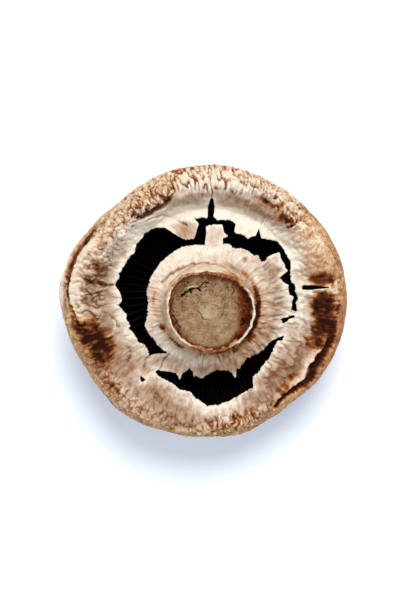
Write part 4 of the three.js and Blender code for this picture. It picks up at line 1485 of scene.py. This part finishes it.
# %% The floor
FLOOR_HALF = 0.5
FLOOR_COLOUR = (0.95, 0.97, 0.99, 1)
FLOOR_GLOW = (0.13, 0.21, 0.31, 1)


def seen_directly(tree):
    """1 for rays that come from the camera, and for those that reach it by a mirror or through glass."""
    rays = add_node(tree, "ShaderNodeLightPath").outputs
    seen = add_math(tree, "MAXIMUM", rays["Is Camera Ray"], rays["Is Glossy Ray"])
    return add_math(tree, "MAXIMUM", seen, rays["Is Transmission Ray"])


def build_floor():
    mesh = bpy.data.meshes.new("pale_floor")
    corners = [(-1, -1), (1, -1), (1, 1), (-1, 1)]
    mesh.from_pydata([(x * FLOOR_HALF, y * FLOOR_HALF, 0) for x, y in corners], [], [(0, 1, 2, 3)])
    finish = Finish("pale_floor")
    finish.put("Base Color", FLOOR_COLOUR)
    finish.put("Roughness", 0.8)
    finish.put("Specular IOR Level", 0.0)
    finish.put("Emission Color", FLOOR_GLOW)
    finish.put("Emission Strength", seen_directly(finish.tree))
    mesh.materials.append(finish.material)
    floor = add_object("pale_floor", mesh)


build_floor()
print("the floor is", 2 * FLOOR_HALF, "m square")

# %% The lamps and the room's own light
SKY_COLOUR = (1.0, 0.98, 0.95, 1)
SKY_STRENGTH = 0.25


def add_lamp(name, side, height, distance, size, power, colour):
    """A round lamp that points at the mushroom: side and height in degrees, distance and size in metres."""
    lamp = bpy.data.lights.new(name, "AREA")
    lamp.shape = "DISK"
    lamp.size, lamp.energy, lamp.color = size, power, colour
    side, height = np.radians(side), np.radians(height)
    holder = add_object(name, lamp)
    holder.location = distance * round_points(side, np.cos(height), np.sin(height))
    holder.rotation_euler = (np.pi / 2 - height, 0, side + np.pi / 2)
    print(f"{name}: a lamp of {power} W")


def light_the_room():
    world = bpy.data.worlds.new("studio")
    bpy.context.scene.world = world
    world.use_nodes = True
    tree = world.node_tree
    sky = tree.nodes["Background"]
    fill(tree, sky.inputs["Color"], SKY_COLOUR)
    fill(tree, sky.inputs["Strength"], SKY_STRENGTH)
    backdrop = add_node(tree, "ShaderNodeBackground", [("Color", (1, 1, 1, 1))])
    either = [(0, seen_directly(tree)), (1, sky.outputs[0]), (2, backdrop.outputs[0])]
    choice = add_node(tree, "ShaderNodeMixShader", either)
    fill(tree, tree.nodes["World Output"].inputs["Surface"], choice.outputs[0])


light_the_room()
add_lamp("window", side=82, height=62, distance=1.1, size=0.5, power=9.3, colour=(1, 0.97, 0.93))
add_lamp("right_wall", side=-22, height=34, distance=1.0, size=0.9, power=2.1, colour=(0.97, 0.98, 1))
add_lamp("left_wall", side=190, height=34, distance=1.0, size=0.9, power=2.4, colour=(0.97, 0.98, 1))

# %% The camera
SENSOR_HEIGHT, FOCAL_LENGTH = 36, 66.8
# How far it is above the cap's widest place, and in front of its middle, in mm.
CAMERA_ABOVE, CAMERA_IN_FRONT = 400, 1.76


def set_camera():
    lens = bpy.data.cameras.new("camera")
    lens.sensor_fit = "VERTICAL"
    lens.sensor_height, lens.lens = SENSOR_HEIGHT, FOCAL_LENGTH
    lens.clip_start, lens.clip_end = 0.01, 10
    camera = add_object("camera", lens)
    camera.location = (PLACE + [0, -CAMERA_IN_FRONT, CAMERA_ABOVE]) * MM
    bpy.context.scene.camera = camera


set_camera()
bpy.context.scene.view_settings.view_transform = "Standard"
print("the camera stands at", [round(value, 4) for value in bpy.context.scene.camera.location], "m")
